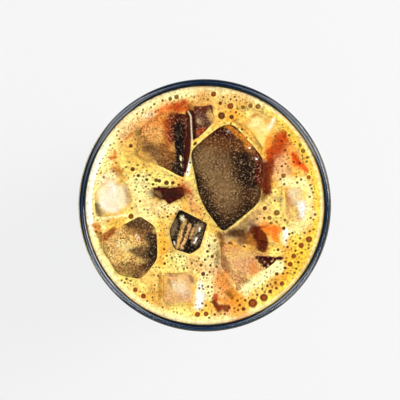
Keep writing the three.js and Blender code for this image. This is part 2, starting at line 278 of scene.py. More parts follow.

# Strokes of colour on each piece, laid one over the other: tone, both ends in mm, half width,
# softness of its edge and strength. Strokes marked as painted highlights or glints stand for light.
STROKES = {
    "foam": [
        # upper left: orange cast, rust streak and flecks, olive smudge
        ("peach", -24, 22, -12, 28.5, 3.4, 3, 0.8), ("terracotta", -20, 24, -13, 28, 1.8, 2.6, 0.6),
        ("honey", -22, 18, -20, 24, 3, 3, 0.5), ("orange", -14, 29, -6, 32, 1.8, 1.8, 0.75),
        ("orange", -20, 24.5, -16, 26.5, 0.7, 1.4, 0.45),
        ("sienna", -13, 26.6, -9, 29.8, 1.2, 1.6, 0.85), ("rust", -11, 31, -6.4, 33, 0.8, 0.9, 0.9),
        ("rust", -13.6, 29.2, -10.6, 27.8, 0.5, 0.9, 0.75),
        ("rust", -8.6, 30.6, -5, 30.6, 0.8, 0.8, 0.8),
        ("vivid", -15.5, 30.2, -12.5, 31, 0.5, 0.8, 0.55), ("ivory", -19.5, 28, -16, 29, 0.6, 1, 0.45),
        ("rust", -25.2, 21.4, -23.3, 22.6, 0.35, 0.45, 0.9),
        ("bronze", -22, 22.9, -21.2, 23.2, 0.8, 0.9, 0.85),
        ("rust", -28.8, 17.2, -28.6, 16.2, 0.35, 0.35, 0.85),
        ("rust", -30, 15, -28.2, 15.5, 0.35, 0.35, 0.9), ("orange", -29.5, 16, -28, 13, 1.2, 1.2, 0.5),
        ("caramel", -29.5, 11.8, -27, 10.6, 0.6, 0.8, 0.8),
        ("caramel", -27.5, 11, -26, 8.5, 0.9, 1, 0.65), ("butter", -24, 18, -20, 12, 3, 2.5, 0.6),
        ("tan", -24.5, 6, -23, 1, 1, 1.4, 0.65), ("brown", -25, 4.6, -24.3, 2.5, 0.4, 0.6, 0.6),
        ("ivory", -33, 7.6, -29.5, 9.4, 1.2, 1.6, 0.55),
        # round the middle left hole
        ("honey", -14, -1.5, -7, -1.5, 1.6, 2.4, 0.45), ("amber", -8, 7, -5, 0, 1.6, 1.6, 0.5),
        ("terracotta", -6, 6.4, -3, -1, 1, 1.6, 0.85), ("honey", -2.6, -1.4, -1.2, -4, 0.8, 1, 0.8),
        ("rust", -7.5, 6, -5.5, 4.6, 0.7, 0.7, 0.85), ("brown", -17.5, 4.2, -15, 3.2, 1, 1, 0.7),
        ("umber", -17, 3.6, -14, 2.6, 1.2, 1.6, 0.85), ("maroon", -13.5, 3.6, -8, 4.2, 1.5, 1.4, 0.95),
        ("pale", -21, 7, -19, -3, 2.6, 2.2, 0.55), ("pale", -14, -1, -9, -1.5, 1.4, 1.4, 0.6),
        ("pale", -8, -18, 3, -20, 2.4, 2.5, 0.4), ("straw", -3, -18.6, 3, -21.4, 2.2, 2, 0.7),
        ("olive", -27, -25, -20, -28.4, 1.6, 2, 0.2), ("pale", 1.5, -12, 3, -18, 2.4, 2, 0.65),
        ("amber", -13.2, -6, -13.6, -16, 0.9, 1.8, 0.55),
        ("cream", -11.5, -17, -9, -19.5, 1.6, 1.4, 0.6),
        # cream lines between the ice pieces
        ("maroon", -4.5, 29, -4.2, 20.5, 1.7, 0.5, 1), ("maroon", -5.2, 21, -6.2, 11.4, 1.1, 0.4, 1),
        ("ivory", -5.3, 30, -4.4, 28.4, 0.08, 0.2, 1), ("ivory", -4.4, 28.4, -4, 20, 0.12, 0.2, 1),
        ("butter", -4, 20.2, 1, 22.8, 0.3, 0.35, 1), ("cream", -4, 20, -4.2, 15, 0.22, 0.3, 1),
        ("white", -4.4, 15, -5.6, 9.6, 0.3, 0.35, 1),
        # top
        ("amber", -1, 34, 12, 33, 2, 2, 0.45), ("sienna", -4.5, 32.1, 1.5, 31.2, 0.9, 1.3, 0.6),
        ("honey", 0, 34, 5, 30.5, 1.8, 1.8, 0.6), ("olive", 11, 31.3, 18, 31.3, 1, 1.2, 0.4),
        ("amber", 3, 27.5, 9, 28.8, 1.6, 1.6, 0.5), ("caramel", 10, 27, 13, 25, 0.8, 1, 0.55),
        # the white stroke at the upper right is a painted highlight
        ("white", 20.5, 24, 22, 27.5, 0.45, 0.5, 0.85), ("orange", 18.4, 20.6, 20.4, 20, 1, 1, 0.9),
        # right of the largest piece
        ("orange", 23, 19, 27, 13.5, 2.8, 3, 0.62), ("terracotta", 23.4, 10, 24.4, 17, 2, 2.4, 0.6),
        ("orange", 26.5, 18.6, 30.4, 13.4, 1.8, 2.2, 0.36), ("rust", 24.6, 20.4, 22, 15, 1.7, 2, 0.95),
        ("rust", 25, 23, 24.4, 21, 0.8, 0.9, 0.8), ("rust", 20.6, 17, 20.8, 11, 1.3, 0.9, 0.97),
        ("peach", 24, 13, 25, 9, 1.8, 2, 0.7), ("russet", 20.6, 13, 19.4, 5.6, 1.5, 1.4, 0.97),
        ("mauve", 18.9, 14.6, 18.7, 8, 0.3, 0.4, 0.85),
        ("chocolate", 19.4, 4.2, 17.2, 1.2, 0.9, 0.9, 0.8),
        ("chocolate", 18.8, 12.5, 19.3, 5, 0.9, 0.8, 0.9),
        ("rust", 25, 22.7, 25.5, 22.2, 0.5, 0.5, 0.85), ("vivid", 27.9, 15.8, 32.4, 11, 0.8, 0.8, 0.97),
        ("rust", 28.4, 15.6, 30.4, 13.2, 0.4, 0.6, 0.8), ("taupe", 9, -6.6, 15, -8, 2.6, 2.2, 0.85),
        ("brown", 12.6, -4.4, 16.5, -1.2, 0.7, 1.2, 0.65), ("brown", 13, -9.6, 16, -11, 1.3, 1.6, 0.8),
        ("brown", 4.8, -9.6, 5.6, -11.8, 1, 1.2, 0.6), ("mauve", 7, -9, 10, -12.4, 1.8, 1.8, 0.65),
        ("umber", 8.9, -8.8, 12, -8.6, 1, 1, 0.97), ("umber", 7.2, -8.6, 9, -8.8, 0.7, 0.9, 0.6),
        ("brown", 11, -11, 15, -12.4, 1.2, 1.2, 0.8), ("ivory", 14.6, -7.6, 15, -8.6, 0.7, 0.6, 0.8),
        ("mauve", 16.5, -2, 14.8, -6, 1.2, 1.4, 0.75), ("tan", 20, 0, 15, -3, 1.2, 1.4, 0.6),
        ("peach", 17.5, -4.5, 19.5, -5.6, 1, 1, 0.5), ("orange", 19, -6.2, 24, -8, 0.8, 0.8, 0.75),
        # both white strokes here are painted highlights
        ("white", 26, -8.5, 25.4, -11.6, 0.7, 0.6, 0.95), ("white", 31.5, -1, 31.4, -4, 0.9, 1, 0.6),
        ("pale", 29, -8, 33, -3, 2, 1.8, 0.55), ("pale", 25.6, 7, 31, 6.6, 1.2, 1.6, 0.8),
        ("pale", 33.2, 5, 33.4, -1, 0.9, 1.2, 0.8), ("mauve", 21.6, 2.6, 24.4, 2.2, 0.7, 1.1, 0.45),
        # lower right
        ("amber", 26.5, -13, 31, -18, 2.6, 2.4, 0.55), ("gold", 30, -12, 30, -20, 2.4, 2.4, 0.6),
        ("chocolate", 16.4, -7.8, 18.6, -11, 1.6, 1, 0.97),
        ("chocolate", 16.2, -12, 19.2, -14.6, 1, 1, 0.97),
        ("chocolate", 17.8, -9, 17.8, -13, 1.6, 1, 0.97), ("caramel", 15, -14, 14.6, -9, 1, 1.2, 0.6),
        ("chocolate", 14.6, -8.6, 17.4, -7.6, 0.8, 1, 0.8),
        ("maroon", 22.4, -17.2, 23.9, -16.9, 0.75, 0.3, 1),
        ("maroon", 23, -16.9, 24.8, -16.8, 0.35, 0.3, 1), ("pale", 12, -27, 24, -19.4, 1.5, 0.9, 0.95),
        ("brown", 5.4, -8.8, 5.6, -12.5, 0.6, 0.9, 0.8), ("brown", 4.6, -15.5, 4.8, -21, 1, 1.4, 0.65),
        ("caramel", 5.8, -13.6, 7.5, -14, 0.6, 0.9, 0.7), ("amber", 8, -13, 9.5, -14.6, 1.4, 1.2, 0.6),
        ("peach", 4, -22, 8.5, -31, 3.2, 2.4, 0.7), ("orange", 5.5, -23, 9.5, -30.5, 1.6, 2.2, 0.75),
        ("amber", 9.5, -29, 11.5, -33.5, 2.2, 1.8, 0.7),
        ("brown", 7, -27.8, 8.6, -29.4, 0.6, 0.8, 0.75), ("rust", 3.8, -29.2, 3, -31, 0.9, 0.45, 0.95),
        ("chocolate", 3, -31.2, 4.2, -32.8, 0.8, 0.45, 0.95),
        ("russet", 4.2, -33, 7.2, -32.6, 0.8, 0.45, 0.95),
        ("orange", 5.2, -30.4, 6.4, -31.2, 0.6, 0.5, 0.8),
        # the white stroke is a painted highlight
        ("white", -1.2, -25, -1.8, -32, 0.8, 1.2, 0.85), ("pale", 0.5, -24, 1, -28, 2, 1.8, 0.6),
        # lower left
        ("pale", -34.5, -4.2, -25.5, -3.2, 0.4, 0.4, 0.9),
        ("sienna", -32.8, -10.8, -29, -8, 0.8, 0.6, 0.9),
        ("butter", -33.2, -9.2, -29, -6.6, 0.2, 0.35, 0.8),
        ("caramel", -34.8, -6, -33.6, -9, 0.9, 0.7, 0.9),
        ("bronze", -34, -9, -32.6, -13, 0.5, 0.7, 0.8),
        ("bronze", -32.2, -14, -27.5, -21.5, 0.4, 0.8, 0.7),
        ("honey", -17, -23, -16, -30, 1.6, 1.6, 0.55),
        ("caramel", -14.3, -22, -14, -29, 0.5, 0.5, 0.75),
        ("orange", -22, -27.5, -19.5, -29, 1.2, 1.4, 0.35),
    ],
    "ice_large": [
        ("taupe", 1, 15, 6, 4, 3.6, 4, 0.5), ("coal", -2.6, 9, 3.4, -4.6, 0.9, 1.6, 0.7),
        ("brown", 1, 21, 5, 20, 2.2, 2.6, 0.6), ("coal", 12, 15, 14, 8, 2.4, 2.6, 0.85),
        ("brown", 8, 22, 12, 18, 1.6, 1.8, 0.55), ("maroon", 3.4, 24.2, 7.6, 22.6, 1.5, 1.4, 0.85),
        ("coal", 2, -3.5, 6, -7, 1.5, 1.6, 0.8), ("coal", 8, -6, 14.5, -0.5, 1.2, 1.4, 0.75),
        ("caramel", 7.2, 25.4, 12, 21.8, 0.75, 0.35, 0.95),
        ("caramel", 12, 21.8, 14.2, 17.8, 0.8, 0.4, 0.85),
        ("chocolate", 16.3, 16, 17.6, 8, 1.2, 0.8, 0.95),
        ("brown", 14.4, 17.6, 16.2, 14, 0.6, 0.6, 0.75),
        # the three white dots are painted glints
        ("white", 16.3, 14.9, 16.4, 14.7, 0.28, 0.12, 1),
        ("white", 7.5, 23.3, 7.6, 23.4, 0.22, 0.12, 0.9),
        ("white", 14.2, 18.2, 14.3, 18.1, 0.25, 0.12, 0.95),
    ],
    "ice_upper_left": [
        ("terracotta", -18, 25, -11.5, 22, 3, 2.4, 0.75), ("orange", -15, 26.6, -10.6, 26, 1.6, 2, 0.7),
        ("honey", -18, 20.5, -15, 22, 3, 2.5, 0.6), ("taupe", -16.6, 16.6, -12, 14, 2.2, 2.4, 0.55),
        ("caramel", -12, 21, -10.6, 13, 1.8, 1.6, 0.6), ("brown", -19, 19.4, -16.4, 17, 1.6, 2, 0.65),
        ("umber", -17.6, 17.8, -12.6, 14.2, 1.6, 2.6, 0.5),
        ("umber", -12.4, 12.6, -10, 11.4, 0.9, 1.2, 0.8),
        ("brown", -13, 18.4, -10.6, 15, 1.5, 1.6, 0.75),
        ("brown", -13.8, 13.4, -11, 11, 1.2, 1.2, 0.85), ("sienna", -12, 26, -10.6, 20, 1.2, 1.4, 0.65),
        ("rust", -11.4, 27, -10.4, 21.4, 1.1, 1.2, 0.8),
        ("chocolate", -10.4, 28, -9.4, 22, 1.4, 1.2, 0.85),
        ("maroon", -8, 28.6, -6.4, 24, 2.2, 0.9, 0.97), ("maroon", -6, 25, -5.8, 11, 1.3, 0.4, 1),
        ("coal", -8.4, 25, -7.5, 10, 1.35, 0.7, 1), ("coal", -9.6, 13, -8.6, 10, 1.1, 0.8, 0.9),
        # the two pale dots are painted glints
        ("pale", -7.6, 15.4, -7.7, 14.6, 0.3, 0.18, 0.95),
        ("pale", -7.5, 13, -7.5, 12.8, 0.22, 0.12, 0.9),
    ],
    "ice_top": [
        ("maroon", -3.2, 25, -0.5, 23.5, 0.9, 0.8, 0.85), ("rust", -2.5, 23, -0.5, 24.4, 0.5, 0.5, 0.6),
        ("chocolate", -3.5, 30.5, 1.5, 30.8, 0.8, 0.9, 0.75), ("tan", 1.5, 29.5, 3, 27, 0.9, 0.9, 0.6),
        ("frost", -1.8, 27, -1.2, 26.5, 0.5, 0.6, 0.6),
    ],
    "ice_upper_right": [
        ("pale", 17, 25, 19, 25, 2.2, 1.6, 0.6), ("honey", 12.8, 26.4, 15.4, 29, 0.8, 1, 0.7),
        ("caramel", 15, 28.6, 20, 28.8, 0.5, 0.7, 0.8),
        ("amber", 19.4, 27.6, 20.4, 27.2, 0.6, 0.5, 0.95), ("tan", 14, 24, 15, 22, 0.6, 0.7, 0.6),
    ],
    "ice_left": [
        ("white", -31, 6, -30, 1, 2.2, 2, 0.7), ("olive", -35, 1, -33.4, -3.4, 1.2, 1.2, 0.75),
        ("umber", -35.2, 0.5, -34.2, -3, 0.7, 0.9, 0.75), ("mauve", -25, 6.4, -24, 1, 0.6, 1, 0.7),
        ("butter", -30, -3, -26, -3, 1, 1, 0.55), ("mauve", -28.4, 8.2, -25.6, 6.8, 0.5, 1, 0.6),
        ("ivory", -33.6, 5, -31, 8, 1.6, 1.6, 0.6),
    ],
    "ice_lower_left": [
        ("umber", -23.6, -5.2, -17.6, -6.4, 2.1, 1.2, 0.97),
        ("brown", -25, -8, -18, -9.5, 1.2, 1.2, 0.7), ("straw", -30, -11, -22, -15, 3, 2.4, 0.75),
        ("umber", -22.4, -14.6, -18.6, -15.8, 1.5, 1.6, 0.9),
        ("umber", -18, -20.4, -24, -22.4, 1.2, 1.5, 0.9),
        ("coal", -16.4, -11, -16.4, -19.6, 1.9, 1.8, 0.95),
        ("brown", -27, -19.5, -20, -20.4, 1.8, 2, 0.65),
        ("ivory", -21.6, -9.6, -20.8, -10.4, 0.3, 0.3, 0.8),
        ("sienna", -20.3, -10.4, -20, -10.8, 0.3, 0.3, 0.9),
        ("olive", -32.6, -10, -31.4, -18, 0.8, 0.8, 0.8),
        ("bronze", -30, -20, -24, -22.6, 0.7, 0.6, 0.8),
        ("sienna", -32.6, -11.2, -29.2, -8.4, 0.9, 0.7, 0.9),
        ("pale", -27, -12.5, -25, -13.5, 1, 1, 0.45),
    ],
    "ice_centre": [
        ("tan", -6.4, -5.4, -8.8, -13.2, 0.5, 0.5, 0.9),
        ("peach", -4.6, -6.4, -7.2, -13.6, 0.45, 0.5, 0.8),
        ("straw", -3.4, -7.4, -4.4, -10.4, 0.3, 0.4, 0.75),
        ("coal", -5.6, -7.4, -7, -11.4, 0.15, 0.2, 0.95),
        ("frost", -9.4, -5, -10.4, -9.4, 0.5, 0.9, 0.45), ("ivory", -7.4, -4, -7, -4.6, 0.4, 0.5, 0.7),
        ("frost", -1.8, -6.4, -3.2, -12, 0.6, 0.8, 0.55),
        ("coal", -1.6, -8.4, -2.6, -9.6, 0.3, 0.3, 0.9),
        # the three white dots are painted glints
        ("white", -1.6, -7.2, -1.8, -8.2, 0.18, 0.2, 0.95),
        ("white", -2.4, -10.4, -3.2, -12, 0.2, 0.2, 0.95),
        ("white", -9.6, -12.4, -9.8, -11.6, 0.15, 0.2, 0.9),
        ("coal", 0.2, -5.6, 0.2, -9, 0.9, 0.5, 0.95), ("coal", -4.8, -13.4, -2.6, -14, 0.8, 0.7, 0.8),
    ],
    "ice_bottom": [
        ("tan", -11.5, -24, -9, -30, 1.6, 1.8, 0.65), ("ivory", -8.6, -26, -6, -28, 1.3, 1.8, 0.6),
        ("terracotta", -8, -29.4, -5, -28.8, 1, 1.4, 0.6),
        ("caramel", -13.6, -22.6, -13.6, -29.4, 0.7, 0.8, 0.9),
        ("brown", -12.6, -21.4, -6, -21.4, 0.5, 0.8, 0.85),
        ("brown", -4.6, -22.4, -3.2, -24.8, 0.6, 0.8, 0.75),
        ("brown", -11.4, -24, -10.6, -26, 0.3, 0.8, 0.55),
        ("caramel", -12, -31.4, -6, -32, 0.6, 0.8, 0.75),
    ],
    "ice_lower_right": [
        ("peach", 9, -16, 13, -20, 2.4, 2, 0.6), ("brown", 5.2, -15.5, 6.6, -21.4, 1.2, 1.6, 0.6),
        ("orange", 15.6, -20, 17, -22, 1, 1.6, 0.5), ("brown", 12, -24, 15, -24.2, 0.8, 0.8, 0.55),
        ("tan", 7, -23.4, 9, -24, 1.2, 1.2, 0.6), ("maroon", 16.6, -16.7, 23.4, -16.9, 0.5, 0.35, 1),
        ("maroon", 18, -17.6, 23, -17.4, 0.9, 0.35, 1),
        ("maroon", 19.3, -18.9, 21.2, -18.5, 1, 0.35, 1),
        ("maroon", 20, -20, 20.3, -19.6, 0.55, 0.35, 1),
        ("terracotta", 19, -18, 19.3, -18.1, 0.12, 0.2, 0.9),
        ("ivory", 21.4, -17.9, 21.5, -17.9, 0.1, 0.2, 0.9),
        ("ivory", 20.2, -19.2, 20.4, -19.3, 0.1, 0.2, 0.9),
        ("rust", 22.3, -17, 23, -16.8, 0.5, 0.5, 0.5),
    ],
    "ice_right": [
        ("orange", 25.7, 3, 25.6, -3, 0.45, 0.45, 0.75),
        ("orange", 25.8, -3, 27.8, -6.2, 0.45, 0.45, 0.8), ("sienna", 26, 3.4, 26.8, -2, 0.5, 0.7, 0.8),
        ("terracotta", 27.4, 3.2, 27.4, -4.4, 0.9, 1, 0.75), ("shell", 28.4, 5, 31.4, 1, 1.4, 1.6, 0.8),
        # the white stroke is a painted highlight
        ("white", 31, 1, 31.3, -3.4, 0.6, 1, 0.85), ("tan", 27.6, -1.4, 27.9, -3, 0.5, 0.5, 0.55),
    ],
    "ice_mid_right": [
        ("rust", 16.6, -7, 20, -6.4, 0.5, 0.5, 0.8), ("vivid", 21, -7.4, 23.8, -9, 0.7, 0.8, 0.5),
        ("tan", 20.4, -12, 21.6, -15, 1.2, 0.9, 0.85),
        ("butter", 20.4, -10.4, 21.6, -12.4, 0.6, 0.5, 0.6),
    ],
    "sunk_ice_right": [
        ("coal", 9.6, -9.4, 12.2, -8.4, 0.9, 0.8, 0.85), ("tan", 13.4, -4.8, 15, -8, 1.3, 1.2, 0.7),
        ("umber", 6.6, -9, 8.8, -12.4, 0.9, 1, 0.6), ("brown", 12, -11.6, 16, -12.6, 0.9, 0.9, 0.7),
        ("butter", 14.6, -8.6, 15.2, -9.4, 0.6, 0.6, 0.8),
    ],
    "sunk_ice_left": [
        ("coal", -13, 3.2, -9.6, 3.6, 1, 1.2, 0.6), ("taupe", -16, 3.6, -14.8, 2.4, 0.8, 0.8, 0.7),
        ("chocolate", -7.6, 4.8, -6.2, 4.8, 0.8, 0.7, 0.8),
    ],
}

# Bands of colour along the foam's rim. The amber, gold and butter ones are the foam's own colour; the pale
# and white ones are a painted glow where the light catches the foam at the glass, brightest at the left.
# Each: tone, both ends in degrees from the right, radius, half width, softness and strength, and by how
# many degrees their ends fade
RIM_BAND_FADE = 8
RIM_TONES_AND_GLOW = [
    ("pale", 50, 215, 34.6, 1.6, 2.2, 0.50),
    ("pale", 60, 160, 36.2, 0.7, 0.9, 0.85),
    ("white", 150, 192, 36.7, 0.5, 0.7, 0.85),
    ("pale", 205, 300, 36.4, 0.6, 0.8, 0.60),
    ("amber", -78, 14, 34.0, 1.4, 1.9, 0.45),
    ("amber", -45, -20, 33.0, 2.2, 2.2, 0.50),
    ("gold", -60, 45, 36.2, 0.8, 0.7, 0.80),
    ("butter", 15, 75, 34.6, 1.6, 1.8, 0.45),
    ("gold", 15, 60, 35.6, 0.7, 0.9, 0.45),
    ("pale", -180, 180, 37.2, 0.3, 0.25, 0.75),
]

# Painted shade and light in the lip of the glass: navy and ink bands paint the dark ring that the lip shows
# from above, and the pale band a clear line for the highlight where that ring catches the light. Each:
# tone, both ends in degrees from the right, radius, half width, softness and strength, and by how many
# degrees their ends fade
LIP_SHADE_FADE = 10
LIP_SHADE_BANDS = [
    ("navy", 28, 198, 38.8, 1.6, 0.2, 1.0),
    ("navy", 198, 388, 38.1, 0.65, 0.2, 1.0),
    ("navy", 198, 388, 39.4, 0.3, 0.2, 0.8),
    ("ink", 55, 115, 38.3, 0.5, 0.3, 0.8),
    ("ink", 138, 200, 38.8, 0.6, 0.3, 0.9),
    ("ink", 200, 335, 38.1, 0.5, 0.25, 0.95),
    ("ink", -45, 30, 38.2, 0.5, 0.25, 0.9),
    ("lip_highlight", 140, 215, 39.8, 0.25, 0.15, 0.9),
    ("ink", 215, 490, 39.9, 0.3, 0.15, 1.0),
]

# Larger bubbles, in mm: across, up, radius
BUBBLES = {
    "rust": [
        (8.2, 31.7, 0.95), (2.8, 35.5, 0.8), (15.3, -31.3, 1.35), (18.9, -29.5, 1.15),
        (30.8, -12.8, 0.85), (33.3, -10.9, 0.9), (28.4, -16.2, 0.75), (27.3, -18.8, 0.75),
        (33.2, 9, 0.6), (-2.3, -34.9, 0.8), (0.4, -34.7, 0.75), (-22.2, -27, 0.7), (-19.6, -29, 0.75),
        (-23.5, -3.6, 0.8), (24.7, -25, 0.7), (29.9, -18.2, 0.45), (31, -15.1, 0.42),
        (10.8, -26.2, 0.9),
    ],
    "dark": [
        (5.3, 28.6, 1.1), (8.6, 28.2, 0.7), (5, 32.6, 0.55), (26.8, 4.8, 0.55), (-15.5, 8, 0.6),
        (-14.5, 7.8, 0.6), (-12.2, 7.2, 0.75), (-10.2, 7.2, 0.6), (-23, 11.5, 0.7), (-21.2, 9.5, 0.55),
        (-18.5, 8.2, 0.5), (-16.5, 6.7, 0.45), (-8.3, 6.6, 0.42), (19.2, -0.9, 0.65),
        (-0.5, -21.9, 0.65), (-1.2, -19.1, 0.5), (2.4, -16.3, 0.55), (0.9, -14.7, 0.48),
        (1.4, -12.9, 0.45), (0.1, -17.4, 0.42), (-12.8, -18.6, 0.45), (23.4, -14.2, 0.5),
        (26.4, -13.3, 0.42), (25.7, -20, 0.5), (23, -21.9, 0.6), (22.6, -24.7, 0.45),
        (20.9, -27.5, 0.6), (22.9, -26.5, 0.45), (12.4, -33.1, 0.6), (11.2, -31.9, 0.45),
        (12.9, -30.3, 0.42), (16.8, -28.6, 0.4), (18.4, -26.6, 0.4), (20, -25.7, 0.45),
        (12.6, -13.4, 0.48), (-11.8, -3.6, 0.42), (-20.7, 1.3, 0.42), (25.2, -7.3, 0.6),
        (29, -12.2, 0.42), (28.2, -11.4, 0.35), (25, -21.8, 0.42), (1.8, -19.2, 0.42),
        (1.6, -21.3, 0.4), (-23.6, 19, 0.6), (1.1, -25.9, 0.4), (27, -9.2, 0.42), (28, -8.8, 0.4),
        (19, -4.1, 0.42), (1, -34.9, 0.3), (3.2, -34.9, 0.42), (-18.7, 6, 0.35), (-14.6, 5.9, 0.4),
        (29, -14.5, 0.4),
    ],
    "olive": [
        (12.3, 31.3, 0.6), (14.6, 31.8, 0.65), (17, 31.5, 0.8), (-11, 34, 0.6), (-9, 34.6, 0.7),
        (25.1, 9.4, 0.75), (23, -2.4, 0.9), (20.7, -4, 0.65), (8.1, -12.5, 0.85), (31.4, 17.4, 0.65),
        (32.8, 15.3, 0.5), (30.5, 19.2, 0.5), (21.2, -5.7, 0.5), (22.9, -5.3, 0.42),
        (-13.4, 33.4, 0.42), (-16.1, 32.3, 0.4), (-19.7, 30.5, 0.36), (-21.6, 29.2, 0.36),
        (-27.5, 23.7, 0.36), (-33.5, 13.4, 0.34), (-28, 22.4, 0.3), (31.9, -8.8, 0.42),
        (3.3, -11.2, 0.5), (-21.4, 12.8, 0.4), (33.2, -13.7, 0.4), (33.8, -4, 0.38),
        (-18.5, 11.1, 0.34), (-17.6, 9.7, 0.45), (-5.5, 10.6, 0.3),
    ],
}

# Colours in the middle of a bubble and at its edge
BUBBLE_TONES = {"rust": ("sienna", "chocolate"), "dark": ("brown", "maroon"), "olive": ("bronze", "brown")}

# Where fine bubbles crowd together: both ends in mm, half width and share of places filled
CROWDS = [
    (-20, 6, -8, 9, 2.6, 0.9),
    (-8, -17, 3, -24, 4.0, 0.8),
    (2, -12, 3, -18, 2.4, 0.8),
    (24, -12, 32, -12, 3.6, 0.7),
    (25, 9, 26, 22, 1.8, 0.6),
    (18, -27, 28, -17, 2.6, 0.6),
    (-12, -2, -6, 3, 2.2, 0.5),
    (-14, -4, -14, -20, 1.6, 0.5),
    (10, 30, 18, 31, 2.2, 0.6),
    (-23, 12, -20, 8, 2.0, 0.6),
    (-30, -25, -18, -30, 3.0, 0.5),
    (3, -33, -14, -33, 1.6, 0.5),
]


class GlassSettings(bpy.types.PropertyGroup):
    columns: bpy.props.IntProperty(
        name="Columns", description="Faces round the tumbler", default=192, min=48)
    ior: bpy.props.FloatProperty(
        name="IOR", description="How strongly the glass bends light", default=1.5, min=1, max=2)
    tint: bpy.props.FloatVectorProperty(
        name="Tint", description="Colour that thick glass keeps", subtype="COLOR", default=(0.3, 0.6, 0.72))
    density: bpy.props.FloatProperty(
        name="Density", description="How much light a metre of glass takes", default=30, min=0)


class DrinkSettings(bpy.types.PropertyGroup):
    cells: bpy.props.IntProperty(
        name="Cells", description="Cells across the foam's top", default=296, min=40)
    coffee: bpy.props.FloatVectorProperty(
        name="Coffee", description="Colour of the coffee", subtype="COLOR", default=(0.022, 0.008, 0.004))
    relief: bpy.props.FloatProperty(
        name="Relief", description="Height of the foam's swells", default=0.16 * MM, unit="LENGTH")
    fizz: bpy.props.IntProperty(
        name="Fizz", description="Places tried for fine bubbles", default=11000, min=0)


class IceSettings(bpy.types.PropertyGroup):
    columns: bpy.props.IntProperty(
        name="Columns", description="Faces round each piece of ice", default=144, min=24)
    melt: bpy.props.FloatProperty(
        name="Melt", description="Depth of the hollows melted into it", default=0.22 * MM, unit="LENGTH")
    roughness: bpy.props.FloatProperty(
        name="Roughness", description="Roughness of the wet ice", default=0.34, min=0, max=1)


class StageSettings(bpy.types.PropertyGroup):
    distance: bpy.props.FloatProperty(
        name="Distance", description="Camera above the rim", default=650 * MM, unit="LENGTH")
    floor: bpy.props.FloatVectorProperty(
        name="Floor", description="Colour of the floor", subtype="COLOR", default=(0.92, 0.92, 0.92))
    key: bpy.props.FloatProperty(
        name="Key", description="Power of the key light", default=7.4, unit="POWER")
    panels: bpy.props.FloatProperty(
        name="Panels", description="Power of each panel that the lip mirrors", default=5.5, unit="POWER")


def linear(tone):
    """An sRGB colour, as hex or as the name of a tone, turned to linear red, green and blue."""
    code = TONES.get(tone, tone).lstrip("#")
    srgb = np.array([int(code[i:i + 2], 16) for i in (0, 2, 4)]) / 255
    return np.where(srgb <= 0.04045, srgb / 12.92, ((srgb + 0.055) / 1.055) ** 2.4)


def smooth_step(low, high, value):
    """From 0 at low to 1 at high, eased at both ends."""
    share = np.clip((value - low) / (high - low), 0, 1)
    return share * share * (3 - 2 * share)


def bell(value, middle, width):
    """1 at the middle, falling off to both sides as a bell curve."""
    return np.exp(-((value - middle) / width) ** 2)


def lattice_noise(x, y, cell, seed):
    """Smooth noise from 0 to 1: random values on a square lattice of that cell, eased in between."""
    size = 256
    values = np.random.default_rng(seed).random((size, size))
    u, v = x / cell + size / 2, y / cell + size / 2
    i, j = np.floor(u).astype(int), np.floor(v).astype(int)
    s, t = smooth_step(0, 1, u - i), smooth_step(0, 1, v - j)
    i, j, k, m = i % size, j % size, (i + 1) % size, (j + 1) % size
    low = values[i, j] * (1 - s) + values[k, j] * s
    high = values[i, m] * (1 - s) + values[k, m] * s
    return low * (1 - t) + high * t


def layered_noise(x, y, cell, seed, layers=3):
    """Lattice noise summed over layers, each with half the cell and half the weight of the last."""
    total, weight = 0, 0
    for layer in range(layers):
        share = 0.5 ** layer
        total = total + share * lattice_noise(x, y, cell * share, seed + layer)
        weight += share
    return total / weight


def to_segment(x, y, x1, y1, x2, y2):
    """Distance of each point from a straight line between two ends."""
    along = ((x - x1) * (x2 - x1) + (y - y1) * (y2 - y1)) / max((x2 - x1) ** 2 + (y2 - y1) ** 2, 1e-9)
    along = np.clip(along, 0, 1)
    return np.hypot(x - x1 - along * (x2 - x1), y - y1 - along * (y2 - y1))


def plain_colour(tone, count):
    """The same linear colour for each of a number of points."""
    return np.repeat(linear(tone)[None, :], count, 0)


def blend(colours, tone, mask):
    """Lays a tone over the colours where the mask says."""
    return colours + (linear(tone) - colours) * mask[:, None]


def lightness(colours):
    """How bright each linear colour looks."""
    return colours @ [0.21, 0.72, 0.07]


def paint_strokes(colours, x, y, strokes):
    """Lays each stroke over the colours. Its distance is taken from points that noise has pushed about,
    less so for a stroke of full strength."""
    wide_x, wide_y = (layered_noise(x, y, WIDE_RAGS, seed) - 0.5 for seed in (11, 21))
    fine_x, fine_y = (layered_noise(x, y, FINE_RAGS, seed) - 0.5 for seed in (31, 41))
    push_x, push_y = wide_x + 0.6 * fine_x, wide_y + 0.6 * fine_y
    for tone, x1, y1, x2, y2, half, soft, strength in strokes:
        push = min(FARTHEST_PUSH, 1.6 * half + 0.5 * soft) * (CRISP_PUSH if strength == 1 else 1)
        away = to_segment(x + push * push_x, y + push * push_y, x1, y1, x2, y2)
        mask = strength * (1 - smooth_step(half - soft * 0.5, half + soft, away))
        colours = blend(colours, tone, mask)
    return colours


def lay_bands(colours, x, y, bands, fade, inward):
    """Lays bands that run round the glass over the colours. A band fades by that many degrees to both
    sides of its ends. Across, it fades from inward times its softness inside its half width to its
    softness outside it."""
    r, degrees = np.hypot(x, y), np.degrees(np.arctan2(y, x))
    for tone, start, end, radius, half, soft, strength in bands:
        past = np.abs((degrees - (start + end) / 2 + 180) % 360 - 180) - (end - start) / 2
        along = 1 - smooth_step(-fade, fade, past)
        across = 1 - smooth_step(half - inward * soft, half + soft, np.abs(r - radius))
        colours = blend(colours, tone, strength * (along * across))
    return colours


